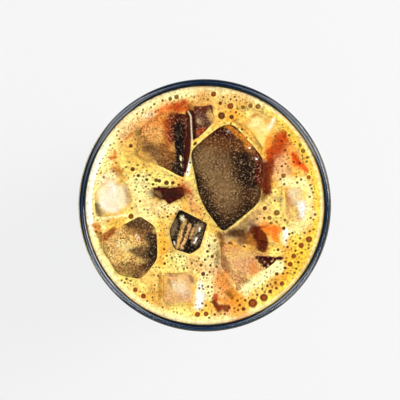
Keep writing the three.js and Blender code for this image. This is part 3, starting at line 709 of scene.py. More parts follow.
def outer_radius(z):
    """Outside of the tumbler: it widens by a power of its height."""
    return FOOT_RADIUS + (RIM_RADIUS - FOOT_RADIUS) * (np.maximum(z, 0) / RIM_HEIGHT) ** SIDE_POWER


def inner_radius(z):
    """Inside of the tumbler: its wall thins evenly from foot to lip."""
    return outer_radius(z) - (LOW_WALL + (LIP_WALL - LOW_WALL) * z / RIM_HEIGHT)


def arc(centre_r, centre_z, radius, start, end, count):
    """Points on an arc in the profile plane, from one angle in degrees to another."""
    angles = np.radians(np.linspace(start, end, count))
    return np.stack([centre_r + radius * np.cos(angles), centre_z + radius * np.sin(angles)], 1)


def wall(radius_at, start, end, count):
    """Points up or down a wall whose radius is a function of its height."""
    z = np.linspace(start, end, count)
    return np.stack([radius_at(z), z], 1)


def inside_profile(grow, top, count):
    """The inside of the tumbler up to a height, moved out by grow: floor, round corner and side."""
    floor = BASE_THICKNESS - grow
    corner_z = floor + INNER_CORNER
    corner_r = inner_radius(corner_z) + grow - INNER_CORNER
    return np.concatenate([
        [[0, floor]],
        arc(corner_r, corner_z, INNER_CORNER, -90, 0, 17),
        wall(lambda z: inner_radius(z) + grow, corner_z, top, count)[1:],
    ])


def glass_profile():
    """From under the foot, up the outside, over a round lip, down the inside and across the floor."""
    lip = LIP_WALL / 2
    lip_z = RIM_HEIGHT - lip
    foot_centre = outer_radius(FOOT_CORNER) - FOOT_CORNER
    return np.concatenate([
        [[PUNT_RADIUS * along, PUNT_DEPTH * height] for along, height in PUNT_BEND],
        arc(foot_centre, FOOT_CORNER, FOOT_CORNER, -90, 0, 13),
        wall(outer_radius, FOOT_CORNER, lip_z, 49)[1:],
        arc(outer_radius(lip_z) - lip, lip_z, lip, 0, 180, 25)[1:-1],
        inside_profile(0, lip_z, 41)[::-1],
    ])


def lip_painted_shade(points):
    """Painted shade of the glass: clear but for its lip, where the eye looks down the length of the wall
    and the bands paint its dark ring and a pale highlight line. The painted shade reaches less far down
    outside than inside."""
    x, y, z = points.T
    tint = lay_bands(np.ones((len(points), 3)), x, y, LIP_SHADE_BANDS, LIP_SHADE_FADE, 1)
    inside = smooth_step(RIM_HEIGHT - LIP_FADE, RIM_HEIGHT - LIP_WALL / 2, z)
    outside = smooth_step(*OUTER_LIP_FADE, z - RIM_HEIGHT)
    tinted = np.where(np.hypot(x, y) > RIM_RADIUS - LIP_WALL / 2, outside, inside)
    return 1 - tinted[:, None] * (1 - tint ** 2)


def coffee_profile():
    """The inside of the glass up to the foam, closed by a flat top that reaches just into the foam."""
    top = COFFEE_TOP + 2 * INTO_WALL
    return np.concatenate([inside_profile(INTO_WALL, top, 41), [[0, top]]])


def lathe(profile, columns):
    """A profile from pole to pole, turned round the upright axis: rings joined by quads, poles by fans."""
    angles = np.linspace(0, 2 * np.pi, columns, endpoint=False)
    r, z = profile[1:-1, 0], profile[1:-1, 1]
    rings = np.stack([
        np.outer(r, np.cos(angles)), np.outer(r, np.sin(angles)), np.repeat(z[:, None], columns, 1)], 2)
    points = np.concatenate([rings.reshape(-1, 3), [[0, 0, profile[0, 1]], [0, 0, profile[-1, 1]]]])
    return points, ring_faces(len(r), columns)


def ring_faces(rings, columns):
    """Quads between stacked closed rings, and fans that close the first and the last ring to the two
    poles, whose vertices follow those of the rings."""
    i, j = np.meshgrid(np.arange(rings - 1), np.arange(columns), indexing="ij")
    k = (j + 1) % columns
    quads = np.stack([i * columns + j, i * columns + k, (i + 1) * columns + k, (i + 1) * columns + j], 2)
    first, pole = np.arange(columns), np.full(columns, rings * columns)
    after = (first + 1) % columns
    last = (rings - 1) * columns
    low_fan = np.stack([after, first, pole], 1)
    high_fan = np.stack([last + first, last + after, pole + 1], 1)
    return quads.reshape(-1, 4), low_fan, high_fan


def make_piece(name, points, faces, material, colours=None, values=None, replaces=()):
    """Makes a mesh piece from points in millimetres and arrays of faces, with its colours and values, and
    rides it on root."""
    mesh = bpy.data.meshes.new(name)
    mesh.from_pydata((points * MM).tolist(), [], sum((group.tolist() for group in faces), []))
    mesh.shade_smooth()
    if colours is not None:
        layer = mesh.attributes.new("tone", "FLOAT_COLOR", "POINT")
        full = np.concatenate([colours, np.ones((len(colours), 1))], 1)
        layer.data.foreach_set("color", full.astype(np.float32).ravel())
    for key, value in (values or {}).items():
        layer = mesh.attributes.new(key, "FLOAT", "POINT")
        layer.data.foreach_set("value", value.astype(np.float32))
    mesh.materials.append(material)
    piece = bpy.data.objects.new(name, mesh)
    bpy.context.scene.collection.objects.link(piece)
    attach(piece, "root")
    if replaces:
        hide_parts(*replaces)
    return piece


def plan_reach(ice, angles):
    """How far a piece of ice reaches in each direction: flat sides joined by a soft maximum."""
    turns, distances = np.radians([s[0] for s in ice["sides"]]), np.array([s[1] for s in ice["sides"]])
    facing = np.maximum(np.cos(angles[..., None] - turns), 0) / distances
    return (facing ** ICE_POWER).sum(-1) ** (-1 / ICE_POWER)


def outside_ice(ice, x, y):
    """Distance in plan outside a piece of ice, less than 0 over it."""
    across, up = x - ice["at"][0], y - ice["at"][1]
    return np.hypot(across, up) - plan_reach(ice, np.arctan2(up, across))


def ice_points(ice, columns, melt):
    """Rings of a piece of ice, from the middle of its underside to the middle of its top.

    A ring is the plan outline less an inset. The side keeps a draft, both edges are rounded, and the
    top leans and is hollowed by noise."""
    angles = np.linspace(0, 2 * np.pi, columns, endpoint=False)
    reach = plan_reach(ice, angles)
    edge = min(ICE_EDGE, ICE_EDGE_SHARE * min(s[1] for s in ice["sides"]))
    top, bottom = ice["proud"], ice["proud"] - ice["deep"]
    turn = np.radians(np.linspace(0, 90, 9))
    shares = np.linspace(0.02, 1, 26)
    inset = np.concatenate([edge * (1 - np.sin(turn)), [0], edge * (1 - np.cos(turn))])
    height = np.concatenate([
        bottom + edge * (1 - np.cos(turn)), [top - edge - ICE_SHOULDER], top - edge * (1 - np.sin(turn))])
    r = reach[None, :] * (1 - ICE_DRAFT * np.clip(height / bottom, 0, 1))[:, None] - inset[:, None]
    low_cap = shares[::5, None] * r[0]
    high_cap = shares[::-1, None][1:] * r[-1]
    r = np.concatenate([low_cap[:-1], r, high_cap])
    height = np.concatenate([np.full(len(low_cap) - 1, bottom), height, np.full(len(high_cap), top)])
    x, y = r * np.cos(angles), r * np.sin(angles)
    z = np.repeat(height[:, None], columns, 1)
    lean, falls = np.radians(ice["lean"])
    raised = np.clip((z - bottom) / ice["deep"], 0, 1)
    z = z - raised * np.tan(lean) * (x * np.cos(falls) + y * np.sin(falls))
    x, y = x + ice["at"][0], y + ice["at"][1]
    hollows = layered_noise(x, y, HOLLOW_WIDTH, 71) - 0.5
    z = z + 2 * melt * hollows * smooth_step(top - edge, top, height)[:, None]
    rings = np.stack([x, y, z + DRINK_LEVEL], 2)
    poles = [[*ice["at"], rings[0, :, 2].mean()], [*ice["at"], rings[-1, :, 2].mean()]]
    return np.concatenate([rings.reshape(-1, 3), poles]), ring_faces(len(height), columns)


def ice_colours(name, points):
    """Colours and glints of a piece of ice: its body, its edge and its strokes, under a film of foam that
    lies in patches and closes over the border, with dark coffee further down. Dark strokes of the foam
    run on over ice that has a film. Glints show where the ice is dark but not black."""
    ice = ICE[name]
    x, y, z = points.T
    body, speckle, edge_tone, edge_strength = ice["look"]
    away = outside_ice(ice, x, y)
    colours = plain_colour(body, len(points))
    colours = blend(colours, edge_tone, edge_strength * smooth_step(*EDGE_FADE, away))
    colours = paint_strokes(colours, x, y, STROKES[name])
    bright = lightness(colours)
    patches = layered_noise(x, y, PATCH_WIDTH, 101, 4)
    ragged = away + 1.6 * (patches - 0.5)
    border = smooth_step(0.1, 0.4, ice["film"]) * smooth_step(*BORDER_FADE, ragged)
    film = np.maximum(0.9 * ice["film"] * smooth_step(0.42, 0.62, patches), border)
    foam = foam_colours(x, y)
    shadow = 1 - smooth_step(0.02, 0.12, lightness(foam))
    carried = 0.95 * shadow * smooth_step(0.1, 0.3, ice["film"])
    film = np.maximum(film * smooth_step(0.03, 0.3, bright), carried)
    colours = colours + (foam - colours) * film[:, None]
    glint = speckle * smooth_step(0, 0.006, bright) * (1 - smooth_step(0.06, 0.2, bright))
    below = smooth_step(DRINK_LEVEL - 1, DRINK_LEVEL - 3, z)
    return blend(colours, "chocolate", 0.8 * below), glint


def add_node(tree, kind, inputs=None, **settings):
    """Adds a shader node, sets its properties and fills its inputs with values or other nodes' outputs."""
    node = tree.nodes.new(f"ShaderNode{kind}")
    for name, value in settings.items():
        setattr(node, name, value)
    for key, value in (inputs or {}).items():
        if isinstance(value, bpy.types.NodeSocket):
            tree.links.new(value, node.inputs[key])
        else:
            node.inputs[key].default_value = value
    return node


def painted(tree, name, kind="Fac"):
    """What is painted on the points of the piece under that name: a value, or a colour if kind says so."""
    return add_node(tree, "Attribute", attribute_name=name).outputs[kind]


def pattern(tree, kind, width, **inputs):
    """A texture fixed to the piece, with cells that are so many millimetres wide."""
    place = add_node(tree, "TexCoord")
    return add_node(tree, kind, {"Vector": place.outputs["Object"], "Scale": 1 / (width * MM), **inputs})


def remap(tree, value, low, high, to_low, to_high, ease="LINEAR"):
    """A value carried from one range to another and kept within it."""
    ranges = {"Value": value, "From Min": low, "From Max": high, "To Min": to_low, "To Max": to_high}
    return add_node(tree, "MapRange", ranges, interpolation_type=ease).outputs[0]


def maths(tree, operation, first, second):
    """Two values put together by that operation."""
    return add_node(tree, "Math", {0: first, 1: second}, operation=operation).outputs[0]


def scaled(tree, colour, value):
    """A colour made lighter or darker by a value."""
    return add_node(tree, "VectorMath", {0: colour, "Scale": value}, operation="SCALE").outputs[0]


def mixed(tree, share, first, second):
    """The second colour laid over the first by a share."""
    return add_node(tree, "Mix", {0: share, 6: first, 7: second}, data_type="RGBA").outputs[2]


def new_material(name):
    """A node material without nodes, and its node tree."""
    material = bpy.data.materials.new(name)
    material.use_nodes = True
    material.node_tree.nodes.clear()
    return material, material.node_tree


def coat(tree, inputs):
    """Makes the surface of the material from the inputs of a principled shader."""
    surface = add_node(tree, "BsdfPrincipled", inputs)
    add_node(tree, "OutputMaterial", {"Surface": surface.outputs[0]})


def glass_material(settings):
    """Soda-lime glass, pressed and fire-polished: clear where it is thin, a cold blue-green where the
    eye looks along the wall, with painted shade and a painted highlight line in bands on its lip."""
    material, tree = new_material("soda_lime_glass")
    glass = add_node(tree, "BsdfPrincipled", {
        "Base Color": painted(tree, "tone", "Color"), "Roughness": 0, "IOR": settings.ior,
        "Transmission Weight": 1})
    body = add_node(tree, "VolumeAbsorption", {"Color": (*settings.tint, 1), "Density": settings.density})
    add_node(tree, "OutputMaterial", {"Surface": glass.outputs[0], "Volume": body.outputs[0]})
    return material


def coffee_material(settings):
    """Black coffee, filtered: nearly opaque, dark brown, a shade redder in slow swirls 18 mm wide."""
    material, tree = new_material("black_coffee")
    swirl = pattern(tree, "TexNoise", 18, Detail=3, Distortion=1.2).outputs["Fac"]
    colour = mixed(tree, swirl, (*settings.coffee, 1), (*linear("tawny"), 1))
    coat(tree, {"Base Color": colour, "Roughness": 0.3, "Specular IOR Level": 0})
    return material


def foam_material():
    """Coffee foam, beaten: matt and cream to amber, wet over what is sunk in it. Its grain is 0.9 mm wide,
    and a few of its bubbles, 0.8 mm apart, show as soft brown dots."""
    material, tree = new_material("coffee_foam")
    beads = pattern(tree, "TexVoronoi", 0.8, Randomness=1)
    dots = remap(tree, beads.outputs["Distance"], 0.14, 0.34, 1, 0, "SMOOTHSTEP")
    chance = add_node(tree, "SeparateColor", {"Color": beads.outputs["Color"]})
    few = remap(tree, chance.outputs[0], 0.62, 0.9, 0, 0.7)
    shade = maths(tree, "MULTIPLY", dots, few)
    grain = pattern(tree, "TexNoise", 0.9, Detail=3).outputs["Fac"]
    light = remap(tree, grain, 0.36, 0.64, 0.76, 1.36)
    varied = scaled(tree, painted(tree, "tone", "Color"), light)
    colour = mixed(tree, shade, varied, (*linear("toffee"), 1))
    height = maths(tree, "SUBTRACT", grain, shade)
    bump = add_node(tree, "Bump", {"Height": height, "Strength": 0.35, "Distance": 0.12 * MM})
    rough = remap(tree, painted(tree, "wet"), 0, 1, 0.55, 0.18)
    coat(tree, {
        "Base Color": colour, "Roughness": rough, "IOR": 1.33, "Specular IOR Level": 0.06,
        "Normal": bump.outputs[0]})
    return material


def ice_material(settings):
    """Ice, frozen cloudy and melting: a wet skin over trapped air about 0.6 mm wide, which gathers in
    clouds 5 mm wide, with the coffee and the foam's film seen in it."""
    material, tree = new_material("cloudy_ice")
    grit = pattern(tree, "TexNoise", 0.6, Detail=2.5, Roughness=0.7).outputs["Fac"]
    cloud = pattern(tree, "TexNoise", 5, Detail=3).outputs["Fac"]
    gather = remap(tree, cloud, 0.36, 0.62, 0.35, 1)
    frosted = maths(tree, "MULTIPLY", painted(tree, "speckle"), gather)
    grains = remap(tree, grit, 0.38, 0.62, 0.18, 1.75)
    level = add_node(tree, "Mix", {0: frosted, 2: 1, 3: grains})
    grained = scaled(tree, painted(tree, "tone", "Color"), level.outputs[0])
    flecks = remap(tree, grit, 0.54, 0.68, 0, 0.7, "SMOOTHSTEP")
    much = maths(tree, "MULTIPLY", painted(tree, "glint"), flecks)
    colour = mixed(tree, much, grained, (*linear("frost"), 1))
    bump = add_node(tree, "Bump", {"Height": grit, "Strength": 0.45, "Distance": 0.15 * MM})
    coat(tree, {
        "Base Color": colour, "Roughness": settings.roughness, "IOR": 1.31,
        "Specular IOR Level": 0.05, "Normal": bump.outputs[0]})
    return material


def bubble_material():
    """A coffee bubble's film over its hollow: dark round the edge, redder in the middle, and glossy."""
    material, tree = new_material("bubble_film")
    tone = painted(tree, "tone", "Color")
    coat(tree, {"Base Color": tone, "Roughness": 0.15, "IOR": 1.33, "Specular IOR Level": 0.1})
    return material


def disc_grid(cells):
    """A square grid bent to the unit disc: each square shell becomes a circle, spaced evenly along it."""
    side = np.linspace(-1, 1, cells + 1)
    a, b = np.meshgrid(side, side, indexing="ij")
    flat = np.abs(a) > np.abs(b)
    r = np.where(flat, a, b)
    safe_a, safe_b = np.where(a == 0, 1, a), np.where(b == 0, 1, b)
    turn = np.where(flat, np.pi / 4 * b / safe_a, np.pi / 2 - np.pi / 4 * a / safe_b)
    return (r * np.cos(turn)).ravel(), (r * np.sin(turn)).ravel()


def fizz_places(tries):
    """Fine bubbles, drawn from a seed: kept where the crowds and the belt along the rim say, clear of the
    ice and of each other."""
    draw = np.random.default_rng(5)
    radius = FIZZ_REACH * np.sqrt(draw.random(tries))
    turn = 2 * np.pi * draw.random(tries)
    x, y = radius * np.cos(turn), radius * np.sin(turn)
    size = FIZZ_SIZE + FIZZ_SPREAD * draw.random(tries) ** 2
    sparser_below_right = 0.35 + 0.65 * (x * 0.8 - y * 0.6 < 6)
    share = FIZZ_SHARE + BELT_SHARE * smooth_step(*BELT_START, radius) * sparser_below_right
    for x1, y1, x2, y2, half, fill in CROWDS:
        away = to_segment(x, y, x1, y1, x2, y2)
        share = np.maximum(share, fill * (1 - smooth_step(half * 0.7, half * 1.3, away)))
    clear = np.min([outside_ice(ice, x, y) for ice in ICE.values()], axis=0) > FIZZ_OFF_ICE
    keep = clear & (draw.random(tries) < share)
    placed = [bubble for kind in BUBBLES.values() for bubble in kind]
    named = len(placed)
    for bubble in np.stack([x, y, size], 1)[keep]:
        others = np.array(placed)
        gap = np.hypot(others[:, 0] - bubble[0], others[:, 1] - bubble[1]) - others[:, 2] - bubble[2]
        if gap.min() > FIZZ_GAP:
            placed.append(tuple(bubble))
    return placed[named:]


def foam_colours(x, y):
    """Colours of the foam before its bubbles: a streaky cream, the bands along the rim with their painted
    glow, and the strokes with their painted highlights.
    """
    streaks = layered_noise(x * 0.8 + y * 0.35, y * 0.9 - x * 0.3, 6, 61, 4)
    colours = plain_colour("cream", len(x))
    colours = blend(colours, "butter", smooth_step(0.40, 0.62, streaks))
    colours = blend(colours, "tan", 0.65 * smooth_step(0.52, 0.72, layered_noise(x, y, 2.4, 66, 4)))
    colours = lay_bands(colours, x, y, RIM_TONES_AND_GLOW, RIM_BAND_FADE, 0.5)
    return paint_strokes(colours, x, y, STROKES["foam"])


def over_sunk(ice, x, y):
    """1 over a sunk piece of ice and 0 beyond it, with a ragged edge."""
    rags = 1.2 * (layered_noise(x, y, 1.6, 81) - 0.5)
    return 1 - smooth_step(-1.2, 0.6, outside_ice(ice, x, y) + rags)


def foam_level(x, y, relief):
    """Height of the foam before its bubbles: a climb up the glass, low swells, a lift against each piece
    of ice and a dip over what is sunk. Under the ice it falls away."""
    rim = inner_radius(DRINK_LEVEL + FOAM_CLIMB) + INTO_WALL
    climb = np.clip((np.hypot(x, y) - rim + FOAM_CLIMB_WIDTH) / FOAM_CLIMB_WIDTH, 0, 1) ** 2
    swell = layered_noise(x, y, SWELL_WIDTH, 51) - 0.5
    z = DRINK_LEVEL + FOAM_CLIMB * climb + 2 * relief * swell * (1 - climb)
    for ice in ICE.values():
        if "shows" in ice:
            z = z - SUNK_DIP * ice["shows"] * over_sunk(ice, x, y)
        else:
            away = outside_ice(ice, x, y)
            uneven = 0.5 + layered_noise(x, y, 3, 111)
            lift = LEAST_LIFT + FILM_LIFT * ice["film"] * ice["proud"] * uneven
            z = z + lift * np.exp(-np.maximum(away, 0) / (0.5 + ice["film"]))
            z = z - (lift + UNDER_ICE_DROP) * smooth_step(*UNDER_ICE, away)
    return z


def outline_strength(name, x, y):
    """How strongly a piece of ice is outlined in cream: faintly, but brightly for the largest, apart from
    its right side."""
    if name != "ice_large":
        return FAINT_OUTLINE
    right_side = smooth_step(15, 18, x) * smooth_step(0, 3, y) * smooth_step(21, 17, y)
    return BRIGHT_OUTLINE - BRIGHT_OUTLINE * right_side


def foam_top(x, y, relief, fizz):
    """Height of the foam, with a bowl with a low brim for each bubble, its colours and its wetness. Fine
    bubbles are olive at the upper left and dark elsewhere."""
    z = foam_level(x, y, relief)
    colours = foam_colours(x, y)
    wet = np.zeros(len(x))
    for name, ice in ICE.items():
        if "shows" in ice:
            over = over_sunk(ice, x, y)
            colours = blend(colours, ice["look"][0], ice["shows"] * over)
            wet = np.maximum(wet, over)
        else:
            line = bell(outside_ice(ice, x, y), 0.35, 0.45) * smooth_step(0.02, 0.25, lightness(colours))
            colours = blend(colours, "cream", outline_strength(name, x, y) * line)
    bubbles = [(*b, kind) for kind, places in BUBBLES.items() for b in places]
    bubbles += [(*b, "olive" if b[0] < 4 and b[1] > -8 else "dark") for b in fizz]
    for bx, by, size, kind in bubbles:
        reach = 2.2 * size + 0.4
        near = np.flatnonzero((np.abs(x - bx) < reach) & (np.abs(y - by) < reach))
        away = np.hypot(x[near] - bx, y[near] - by) / size
        z[near] += size * (BRIM_RISE * bell(away, 1.2, 0.25) - BOWL_DEPTH * np.clip(1 - away ** 2, 0, 1))
        fine = size < FINE_BUBBLE
        centre, edge = BUBBLE_TONES[kind]
        part = np.minimum(colours[near] * (1 + 0.22 * bell(away, 1.5, 0.3))[:, None], 0.95)
        film = 1 - smooth_step(0.75, 1.3, away)
        part = blend(part, "pit" if fine else edge, (0.85 if fine else 0.9) * film)
        if not fine:
            part = blend(part, centre, 0.8 * (1 - smooth_step(0.3, 0.8, away)))
        colours[near] = part
    return z, colours, wet


def foam_side_colours(degrees, heights):
    """Colours of the foam where it meets the glass: mottled butter and tan, stained by the coffee below."""
    mottle = layered_noise(degrees * 0.6, heights, 3.5, 91, 4)
    colours = blend(plain_colour("butter", len(heights)), "tan", smooth_step(0.4, 0.65, mottle))
    stain = 1 - smooth_step(COFFEE_TOP, COFFEE_TOP + STAIN_HEIGHT, heights + 1.5 * (mottle - 0.5))
    return blend(colours, "caramel", 0.75 * stain)


def foam_mesh(cells, relief, fizz):
    """The foam as one closed body: the top is a grid bent to a disc, a wall of rings goes down inside the
    glass from its border, and a fan closes it underneath."""
    rim = inner_radius(DRINK_LEVEL + FOAM_CLIMB) + INTO_WALL
    unit_x, unit_y = disc_grid(cells)
    x, y = unit_x * rim, unit_y * rim
    z, colours, wet = foam_top(x, y, relief, fizz)
    size = cells + 1
    index = np.arange(size * size).reshape(size, size)
    quads = np.stack([index[:-1, :-1], index[1:, :-1], index[1:, 1:], index[:-1, 1:]], 2).reshape(-1, 4)
    border = np.concatenate([index[:-1, 0], index[-1, :-1], index[:0:-1, -1], index[0, :0:-1]])
    columns, levels = len(border), 14
    heights = np.linspace(DRINK_LEVEL + FOAM_CLIMB, COFFEE_TOP, levels + 1)[1:]
    turn = np.arctan2(y[border], x[border])
    radii = inner_radius(heights) + INTO_WALL
    ring_z = np.repeat(heights[:, None], columns, 1)
    rings = np.stack([np.outer(radii, np.cos(turn)), np.outer(radii, np.sin(turn)), ring_z], 2)
    points = np.concatenate([np.stack([x, y, z], 1), rings.reshape(-1, 3), [[0, 0, COFFEE_TOP]]])
    wall_index = size * size + np.arange(levels * columns).reshape(levels, columns)
    upper, lower = np.concatenate([border[None, :], wall_index[:-1]]), wall_index
    sides = np.stack([upper, lower, np.roll(lower, -1, 1), np.roll(upper, -1, 1)], 2).reshape(-1, 4)
    last = wall_index[-1]
    fan = np.stack([np.roll(last, -1), last, np.full(columns, len(points) - 1)], 1)
    side_colours = foam_side_colours(np.tile(np.degrees(turn), levels), ring_z.ravel())
    colours = np.concatenate([colours, side_colours, plain_colour("caramel", 1)])
    wet = np.concatenate([wet, np.zeros(len(points) - len(wet))])
    return points, (quads, sides, fan), colours, wet


def bubble_mesh(places, kind, relief):
    """Low domes joined in one mesh. Each is a lens that stands on the foam's own level: its upper face
    rises by a share of its radius, less the square of the distance, and its lower face by half of that."""
    columns, rings = 16, 5
    across, up, size = np.array(places).T
    level = foam_level(across, up, relief) - DOME_SINK
    turn = np.linspace(0, 2 * np.pi, columns, endpoint=False)
    share = np.linspace(1, 0.2, rings)
    out = np.concatenate([share[::-1], share])
    rise = DOME_RISE * (1 - share ** 2)
    lift = np.concatenate([-0.5 * rise[::-1], rise]) * size[:, None] + level[:, None]
    lift[:, :rings] -= 0.02
    reach = (out * size[:, None])[:, :, None]
    ring_x = across[:, None, None] + reach * np.cos(turn)
    ring_y = up[:, None, None] + reach * np.sin(turn)
    ring_z = np.repeat(lift[:, :, None], columns, 2)
    domes = np.stack([ring_x, ring_y, ring_z], 3).reshape(len(size), -1, 3)
    low_pole = np.stack([across, up, level - 0.5 * DOME_RISE * size], 1)
    high_pole = np.stack([across, up, level + DOME_RISE * size], 1)
    points = np.concatenate([domes, low_pole[:, None], high_pole[:, None]], 1)
    starts = points.shape[1] * np.arange(len(size))[:, None, None]
    faces = [(group + starts).reshape(-1, group.shape[1]) for group in ring_faces(2 * rings, columns)]
    centre, edge = (linear(tone) for tone in BUBBLE_TONES[kind])
    weight = smooth_step(0.45, 0.9, np.concatenate([np.repeat(out, columns), [0, 0]]))[:, None]
    colours = np.tile(centre * (1 - weight) + edge * weight, (len(size), 1))
    return points.reshape(-1, 3), faces, colours


def paper_floor(settings):
    """A wide sheet of matt pale paper under the foot, mostly aglow, so that it keeps one tone."""
    corners = [(-FLOOR_HALF, -FLOOR_HALF, 0), (FLOOR_HALF, -FLOOR_HALF, 0)]
    corners += [(FLOOR_HALF, FLOOR_HALF, 0), (-FLOOR_HALF, FLOOR_HALF, 0)]
    mesh = bpy.data.meshes.new("floor")
    mesh.from_pydata(corners, [], [(0, 1, 2, 3)])
    material, tree = new_material("matt_paper")
    diffuse = add_node(tree, "BsdfDiffuse", {"Color": (*settings.floor, 1)})
    glow = add_node(tree, "Emission", {"Color": (*settings.floor, 1)})
    paper = add_node(tree, "MixShader", {0: FLOOR_GLOW, 1: diffuse.outputs[0], 2: glow.outputs[0]})
    add_node(tree, "OutputMaterial", {"Surface": paper.outputs[0]})
    mesh.materials.append(material)
    floor = bpy.data.objects.new("floor", mesh)
    bpy.context.scene.collection.objects.link(floor)


def studio_world(settings):
    """A soft dome of light by height. Mirrored rays see a colder one, which gives the lip its navy together
    with the painted shade of its bands, and the lens itself sees plain floor colour."""
    world = bpy.data.worlds.new("studio")
    world.use_nodes = True
    tree = world.node_tree
    tree.nodes.clear()
    place = add_node(tree, "TexCoord")
    axes = add_node(tree, "SeparateXYZ", {0: place.outputs["Generated"]})
    dome = add_node(tree, "ValToRGB", {0: axes.outputs["Z"]})
    ramp = dome.color_ramp
    for position, colour in DOME_STOPS[1:-1]:
        ramp.elements.new(position)
    for element, (position, colour) in zip(ramp.elements, DOME_STOPS):
        element.position = position
        element.color = (*colour, 1)
    ray = add_node(tree, "LightPath")
    sky = add_node(tree, "Background", {"Color": dome.outputs["Color"]})
    high = remap(tree, axes.outputs["Z"], *COLD_HEIGHTS, 0, 1)
    mirrored = mixed(tree, high, (*COLD_LOW, 1), (*COLD_HIGH, 1))
    cold = add_node(tree, "Background", {"Color": mirrored})
    early = maths(tree, "LESS_THAN", ray.outputs["Ray Depth"], COLD_TURNS)
    seen = maths(tree, "MULTIPLY", early, ray.outputs["Is Glossy Ray"])
    around = add_node(tree, "MixShader", {0: seen, 1: sky.outputs[0], 2: cold.outputs[0]})
    plain = add_node(tree, "Background", {"Color": (*settings.floor, 1)})
    both = add_node(tree, "MixShader", {
        0: ray.outputs["Is Camera Ray"], 1: around.outputs[0], 2: plain.outputs[0]})
    end = add_node(tree, "OutputWorld", {"Surface": both.outputs[0]})
    end.is_active_output = True
    bpy.context.scene.world = world


def aim_lamp(name, place, power, shape, size):
    """An area lamp at a place in metres, turned to face the foot of the glass."""
    lamp = bpy.data.lights.new(name, "AREA")
    lamp.shape, lamp.energy = shape, power
    lamp.size, lamp.size_y = size
    lit = bpy.data.objects.new(name, lamp)
    lit.location = place
    lit.rotation_euler = (-lit.location).to_track_quat("-Z", "Y").to_euler()
    bpy.context.scene.collection.objects.link(lit)
    return lit


def overhead_camera(settings):
    """A camera that looks straight down, its frame as wide as the photograph's at the height of the rim."""
    lens = bpy.data.cameras.new("camera")
    lens.sensor_width = 36
    lens.lens = lens.sensor_width * settings.distance / (FRAME_WIDTH * MM)
    camera = bpy.data.objects.new("camera", lens)
    camera.location = (CAMERA_AT[0] * MM, CAMERA_AT[1] * MM, RIM_HEIGHT * MM + settings.distance)
    bpy.context.scene.collection.objects.link(camera)
    bpy.context.scene.camera = camera


class OBJECT_OT_coffee_glass(bpy.types.Operator):
    """Makes the tumbler"""
    bl_idname = "object.coffee_glass"
    bl_label = "Tumbler"

    def execute(self, context):
        settings = context.scene.coffee_glass
        points, faces = lathe(glass_profile(), settings.columns)
        material, colours = glass_material(settings), lip_painted_shade(points)
        tumbler = make_piece("tumbler", points, faces, material, colours, replaces=["glass"])
        tumbler.visible_shadow = False
        return {"FINISHED"}


class OBJECT_OT_coffee_drink(bpy.types.Operator):
    """Makes the coffee, the foam on it and the foam's larger bubbles"""
    bl_idname = "object.coffee_drink"
    bl_label = "Coffee and foam"

    def execute(self, context):
        settings = context.scene.coffee_drink
        relief = settings.relief / MM
        points, faces = lathe(coffee_profile(), context.scene.coffee_glass.columns)
        make_piece("black_coffee", points, faces, coffee_material(settings), replaces=["coffee"])
        points, faces, colours, wet = foam_mesh(settings.cells, relief, fizz_places(settings.fizz))
        make_piece("coffee_foam", points, faces, foam_material(), colours, {"wet": wet}, ["foam"])
        film = bubble_material()
        for kind, places in BUBBLES.items():
            points, faces, colours = bubble_mesh(places, kind, relief)
            make_piece(f"bubbles_{kind}", points, faces, film, colours)
        return {"FINISHED"}


class OBJECT_OT_coffee_ice(bpy.types.Operator):
    """Makes every piece of ice"""
    bl_idname = "object.coffee_ice"
    bl_label = "Ice"

    def execute(self, context):
        settings = context.scene.coffee_ice
        material = ice_material(settings)
        for name, ice in ICE.items():
            points, faces = ice_points(ice, settings.columns, settings.melt / MM)
            colours, glint = ice_colours(name, points)
            speckle = np.full(len(points), 0.15 + 0.85 * ice["look"][1])
            shown = [name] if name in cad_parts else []
            piece_name = f"{name}_block" if shown else name
            values = {"speckle": speckle, "glint": glint}
            make_piece(piece_name, points, faces, material, colours, values, shown)
        return {"FINISHED"}


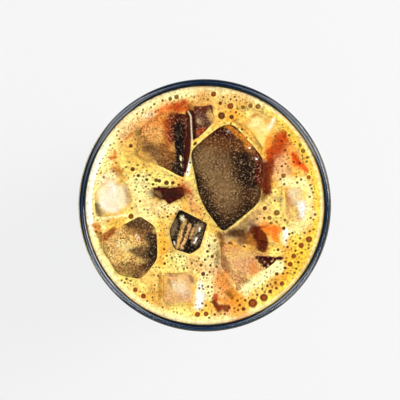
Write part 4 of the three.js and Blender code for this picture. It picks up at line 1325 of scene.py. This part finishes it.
class OBJECT_OT_coffee_stage(bpy.types.Operator):
    """Makes the floor, the lights and the camera"""
    bl_idname = "object.coffee_stage"
    bl_label = "Stage"

    def execute(self, context):
        settings = context.scene.coffee_stage
        context.scene.view_settings.view_transform = "Standard"
        paper_floor(settings)
        studio_world(settings)
        key = aim_lamp("key", KEY_AT, settings.key, "DISK", (KEY_WIDTH, KEY_WIDTH))
        key.data.color = KEY_COLOUR
        for number, turn in enumerate(PANEL_TURNS):
            angle = math.radians(turn)
            place = (PANEL_AWAY * math.cos(angle), PANEL_AWAY * math.sin(angle), PANEL_HEIGHT)
            panel = aim_lamp(f"panel_{number}", place, settings.panels, "RECTANGLE", PANEL_SIZE)
            panel.visible_diffuse = panel.visible_camera = panel.visible_transmission = False
        overhead_camera(settings)
        return {"FINISHED"}


class VIEW3D_PT_iced_coffee(bpy.types.Panel):
    """Lists the pieces of the iced coffee and their settings"""
    bl_label = "Iced coffee"
    bl_space_type = "VIEW_3D"
    bl_region_type = "UI"
    bl_category = "Iced coffee"

    def draw(self, context):
        for name, group in SETTINGS.items():
            box = self.layout.box()
            box.operator(f"object.{name}")
            for key in group.__annotations__:
                box.prop(getattr(context.scene, name), key)


SETTINGS = {
    "coffee_glass": GlassSettings,
    "coffee_drink": DrinkSettings,
    "coffee_ice": IceSettings,
    "coffee_stage": StageSettings,
}
CLASSES = [
    *SETTINGS.values(),
    OBJECT_OT_coffee_glass,
    OBJECT_OT_coffee_drink,
    OBJECT_OT_coffee_ice,
    OBJECT_OT_coffee_stage,
    VIEW3D_PT_iced_coffee,
]


def register():
    for cls in CLASSES:
        bpy.utils.register_class(cls)
    for name, group in SETTINGS.items():
        setattr(bpy.types.Scene, name, bpy.props.PointerProperty(type=group))


def unregister():
    for name in SETTINGS:
        delattr(bpy.types.Scene, name)
    for cls in reversed(CLASSES):
        bpy.utils.unregister_class(cls)


def main():
    register()
    for name in SETTINGS:
        getattr(bpy.ops.object, name)()


if __name__ == "__main__":
    main()
